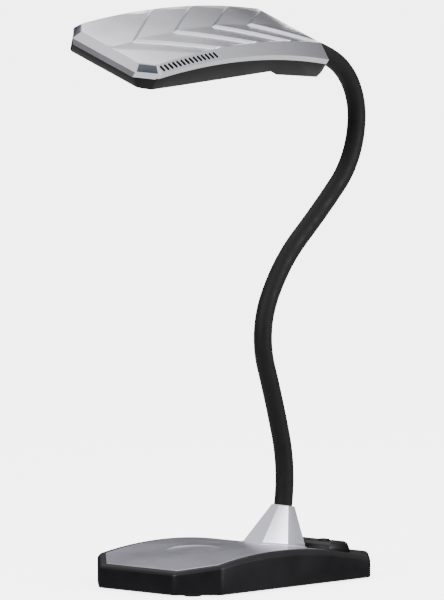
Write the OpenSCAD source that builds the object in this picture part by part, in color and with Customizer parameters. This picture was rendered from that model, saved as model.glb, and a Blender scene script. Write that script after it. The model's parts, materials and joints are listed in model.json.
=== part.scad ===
// Gooseneck document camera: an octagonal desk base, a bendable neck and an arched camera head.
// Front is -Y, +Z is up, and the origin is under the middle of the base, where the feet rest.

/* [Base] */
// Length of the base, front to back
base_l = 252; // [230:1:310]
// Width of the base
base_w = 150; // [130:1:190]
// Leg of the four corner chamfers of the base
base_chamfer = 30; // [20:1:34]
// Height of the top of the base's arch above the desk
crown_z = 34; // [32:0.5:41]
// Height of the rim at the front edge
front_rim_z = 21; // [17:0.5:25]
// Height of the deck at the back edge
rear_deck_z = 20.5; // [19:0.5:24]
// Wall of the black housing
base_wall = 3; // [2:0.5:4]
// Width of the black rim around the silver cover
rim_w = 7; // [6:0.5:10]
// Thickness of the silver cover
cover_t = 2; // [1.6:0.2:3]
// Thickness of the closing plate under the base
plate_t = 2.5; // [2:0.5:4]
// Height that the rubber feet stand proud
foot_proud = 1.5; // [1:0.5:3]
// Diameter of a rubber foot
foot_d = 16; // [12:1:20]
// Length of the steel ballast
ballast_l = 170; // [166:1:180]
// Width of the steel ballast
ballast_w = 100; // [80:1:104]
// Thickness of the steel ballast
ballast_t = 6; // [4:0.5:7]

/* [Controls and ports] */
// Width of the key pod
pod_w = 76; // [70:1:96]
// Length of the key pod, front to back
pod_l = 28; // [24:1:34]
// Height of the pod's top above the desk
pod_z = 30; // [28:0.5:34]
// Length of one key
key_l = 8; // [6:0.5:9]
// Width of one key
key_w = 6; // [5:0.5:8]
// Travel of a key
key_travel = 0.8; // [0.5:0.1:1]
// Distance between keys
key_pitch = 11.5; // [11.5:0.5:13]
// Bore of the power socket
jack_bore = 6.4; // [5.5:0.1:6.5]

/* [Neck] */
// Length of the rubber sleeve along the neck's middle line
neck_l = 515; // [420:5:620]
// Outer diameter of the rubber sleeve
sleeve_d = 16.3; // [15.5:0.1:20]
// Wall of the rubber sleeve
sleeve_wall = 1.5; // [1.2:0.1:1.8]
// Backward lean of the neck where it leaves the collar, in degrees
neck_lean = 10; // [0:1:15]
// Wall of the socket on each neck link
cup_wall = 1.2; // [1:0.1:1.4]
// Gap between a link's socket and the rubber sleeve
link_gap = 0.45; // [0.4:0.05:0.8]
// Diameter of the stem of each neck link
stem_d = 6; // [5:0.2:6]
// Running gap between a ball and its socket
ball_gap = 0.08; // [0.05:0.01:0.1]

/* [Head] */
// Length of the head at its seam
head_l = 240; // [210:1:290]
// Half width of the head at the front, at its widest line
head_half_front = 54; // [48:0.5:62]
// Half width of the head at the back, at its widest line
head_half_rear = 51; // [46:0.5:60]
// Leg of the chamfers on the two front corners
head_chamfer = 15; // [10:0.5:20]
// Rise of the arched seam in the middle
seam_rise = 11.6; // [8:0.2:14]
// Rise of the arched top in the middle
top_rise = 9.6; // [7:0.2:12]
// Height of the top above the seam at the front
top_front_z = 12.5; // [11:0.5:15]
// Height of the top above the seam at the back
top_rear_z = 16.5; // [15:0.5:19]
// Wall of the head's two shells
head_wall = 2.2; // [1.8:0.1:3]
// Turn of the head about the neck's end, in degrees
head_roll = 19.5; // [-60:0.5:60]
// Turn of the head to the side, in degrees
head_yaw = 1; // [-3:0.5:3]
// Diameter of the lens barrel
barrel_d = 26; // [22:0.5:30]
// Diameter of the front glass
glass_d = 15; // [12:0.5:18]
// Number of cooling slots in each flank
vent_count = 14; // [10:1:16]
// Distance between cooling slots
vent_pitch = 5.2; // [4:0.1:6]
// Length of a lamp window
lamp_l = 64; // [50:1:70]
// Width of a lamp window
lamp_w = 14; // [10:0.5:16]

/* [Fits] */
// Gap between fixed pieces that drop into each other
fit = 0.2; // [0.1:0.05:0.4]
// Gap around a moving key
key_gap = 0.3; // [0.2:0.05:0.5]
// Radial running gap of the head's swivel
swivel_gap = 0.06; // [0.03:0.01:0.1]

/* [Hidden] */
$fn = 64;
eps = 0.01;

// ---------- base geometry ----------
crown_y = -18;                              // where the base's arch is highest
floor_z = foot_proud;                       // underside of the housing and its closing plate
half_l = base_l / 2;
half_w = base_w / 2;
arch_run = half_l + crown_y;
arch_fall = crown_z - front_rim_z;
arch_r = (arch_run * arch_run + arch_fall * arch_fall) / (2 * arch_fall);
neck_y = half_l - 63;                       // where the neck's middle line leaves the collar
neck_z = 61;
roof_t = cover_t + 1.8;                     // cover and the ledge under it
ledge_w = 6;
cover_back_y = neck_y + 22;                 // back edge of the silver cover
ballast_z = floor_z + plate_t;
ballast_y = -3;
flange_z = ballast_z + ballast_t;
flange_t = 4;
board_w = 84;
board_l = 70;
board_t = 1.6;
board_y = -half_l + 76;
post_h = 4;
board_z = flange_z + post_h;
port_z = floor_z + 9.5;

// Octagon of the base, pulled in by `inset`, ending at `back` if that is given
module base_plan(inset = 0) {
  w = half_w - inset;
  l = half_l - inset;
  c = base_chamfer - inset * (2 - sqrt(2));
  polygon([[w - c, -l], [w, -l + c], [w, l - c], [w - c, l],
           [-w + c, l], [-w, l - c], [-w, -l + c], [-w + c, -l]]);
}

// Extrude a side view, drawn in Y and Z, across the width
module across(width) {
  translate([-width / 2, 0, 0]) rotate([90, 0, 90]) linear_extrude(width) children();
}

// Side view of everything under the base's arch, `drop` below its surface
module under_arch(drop = 0) {
  intersection() {
    translate([crown_y, crown_z - arch_r]) circle(r = arch_r - drop, $fn = 360);
    translate([-base_l, 0]) square([2 * base_l, 2 * crown_z]);
  }
  translate([0, floor_z]) square([base_l, rear_deck_z - drop - floor_z]);
}

module base_block(inset, drop, low) {
  intersection() {
    translate([0, 0, low]) linear_extrude(2 * crown_z) base_plan(inset);
    across(2 * base_w) under_arch(drop);
  }
}

// The silver cover's own outline, seen from above
module cover_plan(grow = 0) {
  intersection() {
    base_plan(rim_w - grow);
    translate([-base_w, -base_l]) square([2 * base_w, base_l + cover_back_y + grow]);
  }
}

case_screw_x = half_w - 10;
case_screw_y = half_l - 38;
case_screw_d = 2.9;
pillar_d = 8;
module at_case_corners() {
  for (x = [-1, 1], y = [-1, 1]) translate([x * case_screw_x, y * case_screw_y, 0]) children();
}

pod_y = half_l - 30;                        // middle of the key pod
pod_floor = rear_deck_z;                    // the pod stands on the flat back deck
pod_wall = 2;
pod_slope = 2.6;                            // how far each side leans in towards the pod's top
pod_shoulder = 2;                           // height of the softer slope under the top
keys_shift = -4;                            // leaves room for the status light beside the keys
key_x = [for (i = [-2:2]) keys_shift + i * key_pitch];
key_y = pod_y;
key_flange_t = 1.2;
key_stop_z = pod_z - pod_wall - 0.1;        // top of a key's flange, at rest under the pod's roof

module key_hole(x, gap) {
  translate([x, key_y, 0]) cube([key_l + 2 * gap, key_w + 2 * gap, 200], center = true);
}

light_x = key_x[4] + key_l / 2 + 4.5;
light_d = 2.6;

jack_x = -26;
usb_x = -6;
video_x = 18;
jack_d = 11;
usb_w = 13;
usb_h = 6.5;
video_w = 16;
video_h = 7;
port_depth = 12;

module port_cut() {
  translate([jack_x, half_l, port_z]) rotate([90, 0, 0])
    cylinder(d = jack_d + 2 * fit, h = 60, center = true);
  translate([usb_x, half_l, port_z]) cube([usb_w + 2 * fit, 60, usb_h + 2 * fit], center = true);
  translate([video_x, half_l, port_z])
    cube([video_w + 2 * fit, 60, video_h + 2 * fit], center = true);
}

lock_y = half_l - 50;
lock_l = 14;
lock_h = 8;
lock_t = 2;
module lock_cut() {
  translate([-half_w, lock_y, port_z])
    cube([20, lock_l + 2 * fit, lock_h + 2 * fit], center = true);
}

// The round body under the arch, for pieces that stand on it
module arch_cylinder() {
  translate([0, crown_y, crown_z - arch_r]) rotate([0, 90, 0])
    cylinder(r = arch_r, h = 2 * base_w, center = true, $fn = 360);
}
// Everything above the arch lowered by `drop`
module above_arch(drop) {
  across(2 * base_w) difference() {
    translate([-base_l, 0]) square([2 * base_l, 3 * crown_z]);
    translate([crown_y, crown_z - arch_r]) circle(r = arch_r - drop, $fn = 360);
  }
}

module base_housing() {
  color("#1c1b1e") difference() {
    base_block(0, 0, floor_z);
    // hollow inside, open underneath, with screw pillars standing in it
    difference() {
      base_block(base_wall, roof_t, -1);
      at_case_corners() translate([0, 0, floor_z + plate_t]) cylinder(d = pillar_d, h = 100);
    }
    at_case_corners() translate([0, 0, -1]) cylinder(d = case_screw_d + 0.1, h = 14);
    // pocket for the cover, and the opening inside its ledge
    intersection() {
      linear_extrude(100) cover_plan(fit);
      above_arch(cover_t);
    }
    translate([0, 0, floor_z + 5]) linear_extrude(100) intersection() {
      base_plan(rim_w + ledge_w);
      translate([-base_w, -base_l]) square([2 * base_w, base_l + cover_back_y - ledge_w]);
    }
    // opening under the keys and the status light
    translate([0, key_y, 50]) cube([pod_w - 8, key_w + 6, 80], center = true);
    port_cut();
    lock_cut();
  }
}

module bottom_plate() {
  color("#202022") difference() {
    translate([0, 0, floor_z]) linear_extrude(plate_t) base_plan(base_wall + fit);
    at_case_corners() translate([0, 0, -1]) cylinder(d = 3.4, h = 20);
    at_case_corners() translate([0, 0, -1]) cylinder(d = 6.4, h = floor_z + 2);
    at_feet() translate([0, 0, -1]) cylinder(d = foot_peg_d + 2 * fit, h = 20);
  }
}

foot_x = half_w - 26;
foot_y = half_l - 20;
foot_peg_d = foot_d - 4;                    // the part of a foot let into the closing plate
module at_feet() {
  for (x = [-1, 1], y = [-1, 1]) translate([x * foot_x, y * foot_y, 0]) children();
}

module rubber_feet() {
  color("#101010") at_feet() {
    cylinder(d = foot_d, h = floor_z);
    cylinder(d = foot_peg_d, h = floor_z + plate_t - 0.5);
  }
}

dish_y = -52;                               // middle of the shallow dish in the cover
dish_d = 52;
dish_deep = 0.8;
module top_cover() {
  color("#b4b4be") difference() {
    intersection() {
      linear_extrude(100) cover_plan();
      across(2 * base_w) under_arch(0);
      above_arch(cover_t);
    }
    // shallow round dish, where a badge would sit
    intersection() {
      translate([0, dish_y, 0]) cylinder(d = dish_d, h = 100);
      above_arch(dish_deep);
    }
    // passage for the neck's flange and nut
    translate([0, neck_y - 6, 0]) cylinder(d = boss_d + 6, h = 100);
  }
}

module ballast_plate() {
  color("#7a7c80") translate([-ballast_w / 2, ballast_y - ballast_l / 2, ballast_z])
    cube([ballast_w, ballast_l, ballast_t]);
}

module at_board_corners() {
  for (x = [-1, 1], y = [-1, 1])
    translate([x * (board_w / 2 - 5), board_y + y * (board_l / 2 - 5), 0]) children();
}

module main_board() {
  color("#1f5a35") difference() {
    translate([-board_w / 2, board_y - board_l / 2, board_z]) cube([board_w, board_l, board_t]);
    at_board_corners() cylinder(d = 3.4, h = 100);
  }
  color("#26262a") translate([-10, board_y - 8, board_z + board_t]) cube([18, 18, 1.6]);
  color("#26262a") translate([14, board_y + 6, board_z + board_t]) cube([12, 8, 1.2]);
  color("#b8b8b8") translate([-32, board_y + 12, board_z + board_t]) cube([14, 14, 2.4]);
}

module board_posts() {
  color("#c8a44a") at_board_corners() translate([0, 0, flange_z]) difference() {
    cylinder(d = 6, h = post_h);
    translate([0, 0, -1]) cylinder(d = 2.6, h = 20);
  }
}

module board_screws() {
  color("#c9c9cc") at_board_corners() translate([0, 0, board_z + board_t]) {
    cylinder(d = 5.5, h = 1.8);
    translate([0, 0, -board_t - 3]) cylinder(d = 2.5, h = board_t + 3);
  }
}

module case_screws() {
  color("#3a3a3d") at_case_corners() {
    translate([0, 0, floor_z + 0.2]) cylinder(d = 5.8, h = 0.8);
    translate([0, 0, floor_z + 0.5]) cylinder(d = case_screw_d, h = 9);
  }
}

// A low mound with sloping sides, standing on the deck
module pod_shape(inset) {
  top = pod_z - inset;
  hull() {
    translate([0, pod_y, pod_floor]) pod_slice(pod_w - 2 * inset, pod_l - 2 * inset);
    translate([0, pod_y, top - pod_shoulder])
      pod_slice(pod_w - pod_slope - 2 * inset, pod_l - 2 * pod_slope - 2 * inset);
    translate([0, pod_y, top - eps])
      pod_slice(pod_w - 2 * pod_slope - 2 * inset, pod_l - 4 * pod_slope - 2 * inset);
  }
}
module pod_slice(w, l) {
  translate([-w / 2, -l / 2, 0]) cube([w, l, eps]);
}

module control_pod() {
  color("#161618") difference() {
    pod_shape(0);
    pod_shape(pod_wall);
    // open underneath, and cut to the arch where it is higher than the deck
    translate([0, pod_y, pod_floor])
      cube([pod_w - 2 * pod_wall, pod_l - 2 * pod_wall, 4 * eps], center = true);
    arch_cylinder();
    for (x = key_x) key_hole(x, key_gap);
    translate([light_x, key_y, 0]) cylinder(d = light_d + 2 * fit, h = 100);
  }
}

key_board_z = rear_deck_z - 6;
module key_board() {
  color("#2a6b40") translate([-(pod_w - 16) / 2, key_y - 7, key_board_z])
    cube([pod_w - 16, 14, board_t]);
  // one dome switch under each key
  color("#c0c0c0") for (x = key_x)
    translate([x, key_y, key_board_z + board_t]) cylinder(d = 5, h = switch_h);
}
switch_h = 2;

module key(i, proud) {
  low = key_board_z + board_t + switch_h + key_travel + 0.1;
  color("#3b3c42") {
    translate([key_x[i] - key_l / 2, key_y - key_w / 2, low])
      cube([key_l, key_w, pod_z + proud - low]);
    // retaining flange under the pod's roof
    translate([key_x[i] - key_l / 2 - 1, key_y - key_w / 2 - 1, key_stop_z - key_flange_t])
      cube([key_l + 2, key_w + 2, key_flange_t]);
  }
}
key_proud = 0.3;
power_proud = 1.8;
module zoom_out_button() { key(0, key_proud); }
module zoom_in_button() { key(1, key_proud); }
module freeze_button() { key(2, key_proud); }
module lamp_button() { key(3, key_proud); }
module power_button() { key(4, power_proud); }

module status_light() {
  color("#9fe0b0") translate([light_x, key_y, key_board_z + board_t])
    cylinder(d = light_d, h = pod_z - key_board_z - board_t + 0.3);
}

// ---------- power and signal sockets ----------
module power_jack() {
  color("#151515") difference() {
    translate([jack_x, half_l - 0.5, port_z]) rotate([90, 0, 0]) cylinder(d = jack_d, h = port_depth);
    translate([jack_x, half_l + 1, port_z]) rotate([90, 0, 0]) cylinder(d = jack_bore, h = 10.5);
  }
  color("#d8d8d8") translate([jack_x, half_l - 1.5, port_z]) rotate([90, 0, 0]) cylinder(d = 2, h = 9);
}

module socket_shell(x, w, h) {
  translate([x, half_l - 0.5 - port_depth / 2, port_z]) difference() {
    cube([w, port_depth, h], center = true);
    translate([0, 1.2, 0]) cube([w - 1.2, port_depth, h - 1.2], center = true);
  }
  translate([x, half_l - 0.5 - port_depth / 2 - 0.5, port_z + h / 2 - 1.9])
    cube([w - 4, port_depth - 3, 1], center = true);
}
module usb_port() { color("#c4c4c8") socket_shell(usb_x, usb_w, usb_h); }
module video_port() { color("#c4c4c8") socket_shell(video_x, video_w, video_h); }

module lock_plate() {
  color("#9a9aa0") difference() {
    translate([lock_t / 2 + 0.4 - half_w, lock_y, port_z])
      cube([lock_t, lock_l, lock_h], center = true);
    translate([-half_w, lock_y, port_z]) cube([20, 7, 3], center = true);
  }
}

// ---------- neck geometry ----------
// The neck is a chain of equal arcs. Each number is the bend of one arc in degrees, + to the back.
arc_bend = [-25, -4, 46, 23, -4, -44, -63, -29];
arcs = len(arc_bend);
arc_l = neck_l / arcs;

function bend_sum(i) = i == 0 ? 0 : bend_sum(i - 1) + arc_bend[i - 1];
function heading(i) = neck_lean + bend_sum(i);
function arc_radius(i) = arc_l * 180 / (PI * arc_bend[i]);
// Step in Y and Z along arc i, up to the angle `a` into its bend
function arc_step(i, a) = arc_radius(i) *
  [cos(heading(i)) - cos(heading(i) + a), sin(heading(i) + a) - sin(heading(i))];
function arc_start(i) = i == 0 ? [neck_y, neck_z]
  : arc_start(i - 1) + arc_step(i - 1, arc_bend[i - 1]);
function arc_middle(i) = arc_start(i) + arc_step(i, arc_bend[i] / 2);

// Put children at a point of the neck, with their Z axis along it
module on_neck(point, angle) {
  translate([0, point[0], point[1]]) rotate([-angle, 0, 0]) children();
}
module at_arc_start(i) { on_neck(arc_start(i), heading(i)) children(); }
module at_arc_middle(i) { on_neck(arc_middle(i), heading(i) + arc_bend[i] / 2) children(); }

// Sweep a round section of diameter d along a bend that starts at the origin towards +Z
module bent_rod(d, bend, length) {
  r = length * 180 / (PI * abs(bend));
  mirror([0, bend < 0 ? 1 : 0, 0]) translate([0, r, 0]) rotate([90, 0, -90])
    rotate_extrude(angle = abs(bend), $fn = 480) translate([r, 0]) circle(d = d, $fn = 48);
}
module first_half(i, d) { at_arc_start(i) bent_rod(d, arc_bend[i] / 2, arc_l / 2); }
module second_half(i, d) { at_arc_middle(i) bent_rod(d, arc_bend[i] / 2, arc_l / 2); }

cup_d = sleeve_d - 2 * sleeve_wall - 2 * link_gap;
ball_d = cup_d - 2 * cup_wall;
socket_d = ball_d + 2 * ball_gap;
cup_lip = 1.6;                              // how far a socket reaches past the ball's middle

// The socket on the end of a link: a cup that holds the next link's ball
module cup(i) {
  at_arc_middle(i) sphere(d = cup_d, $fn = 96);
}
module cup_hollow(i) {
  at_arc_middle(i) {
    sphere(d = socket_d, $fn = 96);
    translate([0, 0, cup_lip]) cylinder(d = cup_d + 2, h = cup_d);
  }
}

// Link i runs from the ball in arc i-1 to the socket in arc i
module neck_link(i) {
  color("#8b8d92") difference() {
    union() {
      at_arc_middle(i - 1) sphere(d = ball_d, $fn = 96);
      second_half(i - 1, stem_d);
      first_half(i, stem_d);
      // crimped band where the link's two bends meet
      at_arc_start(i) cylinder(d = stem_d + 1.4, h = 4, center = true);
      cup(i);
    }
    cup_hollow(i);
  }
}

module neck_sleeve(i) {
  color("#161617") difference() {
    at_arc_start(i) bent_rod(sleeve_d, arc_bend[i], arc_l);
    at_arc_start(i) bent_rod(sleeve_d - 2 * sleeve_wall, arc_bend[i], arc_l);
  }
}

module neck_link_1() { neck_link(1); }
module neck_link_2() { neck_link(2); }
module neck_link_3() { neck_link(3); }
module neck_link_4() { neck_link(4); }
module neck_link_5() { neck_link(5); }
module neck_link_6() { neck_link(6); }
module neck_link_7() { neck_link(7); }
module neck_sleeve_1() { neck_sleeve(0); }
module neck_sleeve_2() { neck_sleeve(1); }
module neck_sleeve_3() { neck_sleeve(2); }
module neck_sleeve_4() { neck_sleeve(3); }
module neck_sleeve_5() { neck_sleeve(4); }
module neck_sleeve_6() { neck_sleeve(5); }
module neck_sleeve_7() { neck_sleeve(6); }
module neck_sleeve_8() { neck_sleeve(7); }

// ---------- foot of the neck ----------
ferrule_d = 12;
boss_d = 20;
boss_top = -28;                             // along the neck's line, below where it leaves the collar
ferrule_low = -42;
nut_h = 6;
collar_top_w = 10.4;                        // half width of the collar's octagonal top

// Octagon with corner points at half widths w (side) and lengths front, back
module collar_foot(inset, thick) {
  linear_extrude(thick) polygon([
    [12 - inset * 0.4, -41 + inset], [20 - inset, -15 + inset * 0.4], [20 - inset, 7],
    [10 - inset * 0.4, 16 - inset], [-10 + inset * 0.4, 16 - inset], [-20 + inset, 7],
    [-20 + inset, -15 + inset * 0.4], [-12 + inset * 0.4, -41 + inset]]);
}
module collar_body(inset) {
  hull() {
    translate([0, neck_y, neck_z - 36]) collar_foot(inset, eps);
    translate([0, neck_y, neck_z - 30]) collar_foot(inset, eps);
    at_arc_start(0) translate([0, 0, 1.5 - inset]) rotate([0, 0, 22.5])
      cylinder(r = collar_top_w / cos(22.5) - inset, h = eps, $fn = 8);
  }
}
module neck_collar() {
  color("#c6c7d2") difference() {
    collar_body(0);
    collar_body(2.4);
    at_arc_start(0) translate([0, 0, -60]) cylinder(d = sleeve_d + 2 * fit, h = 100);
    // the foot follows the cover's arch
    arch_cylinder();
  }
}

flange_y = neck_y - tan(neck_lean) * (neck_z - flange_z);
flange_half = 23;
flange_screw_x = 17;
flange_screw_d = 4;
module at_flange_screws() {
  for (x = [-1, 1], y = [-1, 1]) translate([x * flange_screw_x, flange_y + y * flange_screw_x, 0]) children();
}
module neck_flange() {
  color("#6f7176") difference() {
    union() {
      translate([-flange_half, flange_y - flange_half, flange_z])
        cube([2 * flange_half, 2 * flange_half, flange_t]);
      intersection() {
        at_arc_start(0) translate([0, 0, -70]) cylinder(d = boss_d, h = 70 + boss_top);
        translate([-50, flange_y - 50, flange_z]) cube([100, 100, 100]);
      }
    }
    at_arc_start(0) translate([0, 0, ferrule_low]) cylinder(d = ferrule_d, h = 100);
    at_flange_screws() cylinder(d = flange_screw_d + 2 * fit, h = 100);
  }
}
module flange_screws() {
  color("#c9c9cc") at_flange_screws() translate([0, 0, flange_z + flange_t]) {
    difference() {
      cylinder(d = 7, h = 3);
      translate([0, 0, 1.5]) cylinder(d = 4, h = 3, $fn = 6);
    }
    translate([0, 0, -flange_t]) cylinder(d = flange_screw_d, h = flange_t);
  }
}
module clamp_nut() {
  color("#a9abb0") at_arc_start(0) translate([0, 0, boss_top]) difference() {
    cylinder(d = boss_d, h = nut_h, $fn = 6);
    translate([0, 0, -1]) cylinder(d = ferrule_d, h = 20);
  }
}
module lower_ferrule() {
  color("#9b9da3") difference() {
    union() {
      at_arc_start(0) translate([0, 0, ferrule_low]) cylinder(d = ferrule_d, h = -ferrule_low + eps);
      first_half(0, stem_d);
      cup(0);
    }
    cup_hollow(0);
  }
}

// ---------- head geometry ----------
// In the head's own frame the neck comes in along -Y at the origin, and the seam is at `axis_drop`.
axis_drop = 3.4;
head_gap = 0.6;                             // between the sleeve's end and the head's back
neck_end = arc_start(arcs - 1) + arc_step(arcs - 1, arc_bend[arcs - 1]);
end_heading = heading(arcs - 1) + arc_bend[arcs - 1];

// Put children, drawn with the head's back face at y = 0 and its seam's ends at z = 0, on the neck
module on_head() {
  translate([0, neck_end[0], neck_end[1]]) rotate([-90 - end_heading, 0, 0])
    rotate([0, head_roll, 0]) rotate([0, 0, head_yaw])
      translate([0, -head_gap, axis_drop]) children();
}
// The same place, but without the head's roll and yaw
module on_neck_end() {
  translate([0, neck_end[0], neck_end[1]]) rotate([-90 - end_heading, 0, 0]) children();
}

seam_r = (head_l * head_l / 4 + seam_rise * seam_rise) / (2 * seam_rise);
// Height of the arched seam at a distance `a` from the back
function seam_z(a) = seam_rise - seam_r + sqrt(seam_r * seam_r - pow(a - head_l / 2, 2));
top_back = 2.4;                             // the top face starts this far in from the back
top_front = 5;                              // and ends this far in from the front
top_run = head_l - top_back - top_front;
top_r = (top_run * top_run / 4 + top_rise * top_rise) / (2 * top_rise);
function top_z(a) = let (u = (a - top_back) / top_run)
  top_rear_z + (top_front_z - top_rear_z) * u
  + top_rise - top_r + sqrt(top_r * top_r - pow((u - 0.5) * top_run, 2));
waist_rise = 5;                             // the widest line lies this far above the seam
seam_in = 1.6;                              // the seam lies this far inside the widest line
function half_at(a) = head_half_rear + (head_half_front - head_half_rear) * a / head_l;
// The top face narrows towards the back
function top_half_at(a) = 39 / 51 * head_half_rear
  + (47.5 / 54 * head_half_front - 39 / 51 * head_half_rear) * a / head_l;

// The underside is a deep block at the back, then a long flat, then a lip
block_start = 5;
block_end = 61;
flat_start = 69;
flat_end = head_l - 52;

// Distances from the back at which both shells have a ring of points
body_run = head_l - head_chamfer;
flat_step = (flat_end - flat_start) / 8;
marks = concat([0, block_start, 24, 42, block_end], [for (k = [0:8]) flat_start + k * flat_step],
               [flat_end + (body_run - flat_end) / 2, body_run, body_run + head_chamfer / 2, head_l]);
// How far the front chamfer cuts into the half width
function chamfer_cut(a) = max(0, a - body_run);

// Ring of points of the upper shell, from the seam on +X over the top to the seam on -X
function top_ring(a, t) = let (
    cut = chamfer_cut(a), at_front = a >= head_l, at_back = a <= 0,
    ys = -a + (at_front ? t : 0) - (at_back ? t : 0),
    yt = at_front ? -a + top_front + t : at_back ? -top_back - t : -a,
    w = half_at(a) - cut - t, ws = w - seam_in, wt = top_half_at(a) - cut - t * 0.8)
  [[ws, ys, seam_z(a) - (t > 0 ? 4 : 0)], [w, ys, seam_z(a) + waist_rise], [wt, yt, top_z(-yt) - t],
   [-wt, yt, top_z(-yt) - t], [-w, ys, seam_z(a) + waist_rise], [-ws, ys, seam_z(a) - (t > 0 ? 4 : 0)]];

// Height of the underside at a distance `a` from the back
function underside_z(a) =
  a <= block_start ? -13
  : a <= block_end ? -13 + 6.5 * (a - block_start) / (block_end - block_start)
  : a <= flat_start ? -6.5 + 3.9 * (a - block_end) / (flat_start - block_end)
  : a <= flat_end ? -2.6 - 4.3 * (a - flat_start) / (flat_end - flat_start)
  : -6.9 - 1.5 * (a - flat_end) / (head_l - flat_end);
back_lip_z = -9;
under_cut = 9;                              // the front chamfer's share of the underside
front_under = 4.5;                          // the underside ends this far behind the front
under_in = 4.5;                             // the underside is this much narrower than the widest line
function lower_ring(a, t) = let (
    at_front = a >= head_l, at_back = a <= 0,
    cut_u = chamfer_cut(a) * under_cut / head_chamfer,
    ys = -a + (at_front ? t : 0) - (at_back ? t : 0),
    yu = at_front ? -a + front_under + t : ys,
    ws = half_at(a) - seam_in - chamfer_cut(a) - t, wu = half_at(a) - under_in - cut_u - t,
    zu = (at_back ? back_lip_z : underside_z(a)) + t, zs = seam_z(a) + (t > 0 ? 4 : 0))
  [[-ws, ys, zs], [-wu, yu, zu], [wu, yu, zu], [ws, ys, zs]];

// Close a list of equal rings into one solid
module loft(rings) {
  n = len(rings[0]);
  m = len(rings);
  points = [for (r = rings) for (p = r) p];
  sides = [for (k = [0:m - 2]) for (i = [0:n - 1]) let (j = (i + 1) % n)
    each [[k * n + i, (k + 1) * n + i, (k + 1) * n + j], [k * n + i, (k + 1) * n + j, k * n + j]]];
  polyhedron(points, concat(sides, [[for (i = [0:n - 1]) i]],
                            [[for (i = [n - 1:-1:0]) (m - 1) * n + i]]));
}
module head_top_solid(t) { loft([for (a = marks) top_ring(a, t)]); }
module head_lower_solid(t) { loft([for (a = marks) lower_ring(a, t)]); }

// Cooling slots: slanted cuts through the upper flanks, near the front
vent_start = head_l - head_chamfer - 6;
vent_slant = 35;
module vents() {
  for (side = [-1, 1], k = [0:vent_count - 1]) let (a = vent_start - k * vent_pitch)
    translate([side * (half_at(a) + top_half_at(a)) / 2, -a, (seam_z(a) + waist_rise + top_z(a)) / 2])
      rotate([side * vent_slant, -side * 45, 0]) cube([9, 1.8, 4.6], center = true);
}

window_w = 17;
window_h = 7;
window_t = 2.2;
// Block for the dark windows let into the chamfers of the two front corners
module corner_block(side, grow) {
  mirror([side < 0 ? 1 : 0, 0, 0])
    translate([head_half_front - head_chamfer / 2 - 3.4, -head_l + head_chamfer / 2 + 1.2,
               (waist_rise + top_front_z) / 2 + 1.1])
      rotate([0, 0, 45]) rotate([-44, 0, 0])
        cube([window_w + 2 * grow, window_t + 2 * grow, window_h + 2 * grow], center = true);
}

// Stepped chevrons pressed into the top, pointing to the front
chevron_apex = [head_l - 32, head_l - 83, head_l - 133, head_l - 180];
chevron_sweep = 72;
chevron_band = 5;
module chevron(a) {
  w = 47;
  linear_extrude(200) polygon([[0, -a], [w, -a + chevron_sweep], [w, -a + chevron_sweep + chevron_band],
    [0, -a + chevron_band], [-w, -a + chevron_sweep + chevron_band], [-w, -a + chevron_sweep]]);
}
module chevrons(depth) {
  intersection() {
    union() { for (a = chevron_apex) chevron(a); }
    translate([-200, 5, 0]) mirror([0, 1, 0]) cube([400, head_l - 10, 200]);
    difference() {
      translate([0, 0, top_rear_z]) head_top_solid(0);
      translate([0, 0, -depth]) head_top_solid(0);
    }
  }
}

head_screw_d = 2.9;
head_screw_head = 5.4;
head_screw_sink = 1.2;                      // depth of a screw's recess
head_post_top = 6;
head_screw_spots = [for (x = [-36, 36]) for (y = [-22, 35 - head_l]) [x, y]];
shaft_d = 7;                                // steel shaft that the head swivels on
module swivel_hole() {
  translate([0, 3, -axis_drop]) rotate([90, 0, 0])
    cylinder(d = shaft_d + 2, h = 3 + bracket_back);
}

module head_top_cover() {
  color("#b4b4be") on_head() difference() {
    head_top_solid(0);
    head_top_solid(head_wall);
    vents();
    chevrons(0.6);
    corner_block(1, fit);
    corner_block(-1, fit);
    swivel_hole();
  }
}

lens_y = -128;                              // the lens's middle, from the head's back
lens_under = underside_z(-lens_y);
lamp_front_y = lens_y - barrel_d / 2 - 29;
lamp_rear_y = lens_y + barrel_d / 2 + 23;
module lamp_cut(y, gap) {
  translate([0, y, underside_z(-y)])
    cube([lamp_l + 2 * gap, lamp_w + 2 * gap, 12], center = true);
}

module head_lower_shell() {
  color("#1b1b1d") difference() {
    on_head() head_lower_body();
    bracket_holes(bracket_screw_d + 0.1);
  }
}
module head_lower_body() {
  difference() {
    union() {
      difference() {
        head_lower_solid(0);
        head_lower_solid(head_wall);
      }
      // posts that the screws of the two shells run in
      for (p = head_screw_spots) translate([p[0], p[1], underside_z(-p[1]) + head_wall / 2])
        cylinder(d = 7, h = head_post_top - underside_z(-p[1]) - head_wall / 2);
      // posts that the swivel's bracket stands on
      for (x = [-1, 1])
        translate([x * bracket_screw_x, head_gap - bracket_back - bracket_l / 2, bracket_floor])
          cylinder(d = 8, h = -axis_drop - bracket_low - bracket_floor);
    }
    for (p = head_screw_spots) translate([p[0], p[1], underside_z(-p[1])]) {
      cylinder(d = head_screw_d + 0.1, h = 40);
      translate([0, 0, -20]) cylinder(d = head_screw_head + 2 * fit, h = 20 + head_screw_sink);
    }
    translate([0, lens_y, -40]) cylinder(d = barrel_d + 2 * fit, h = 80);
    lamp_cut(lamp_front_y, fit);
    lamp_cut(lamp_rear_y, fit);
    swivel_hole();
  }
}

module corner_window_left() { color("#4b505c") on_head() corner_block(-1, 0); }
module corner_window_right() { color("#4b505c") on_head() corner_block(1, 0); }

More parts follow.
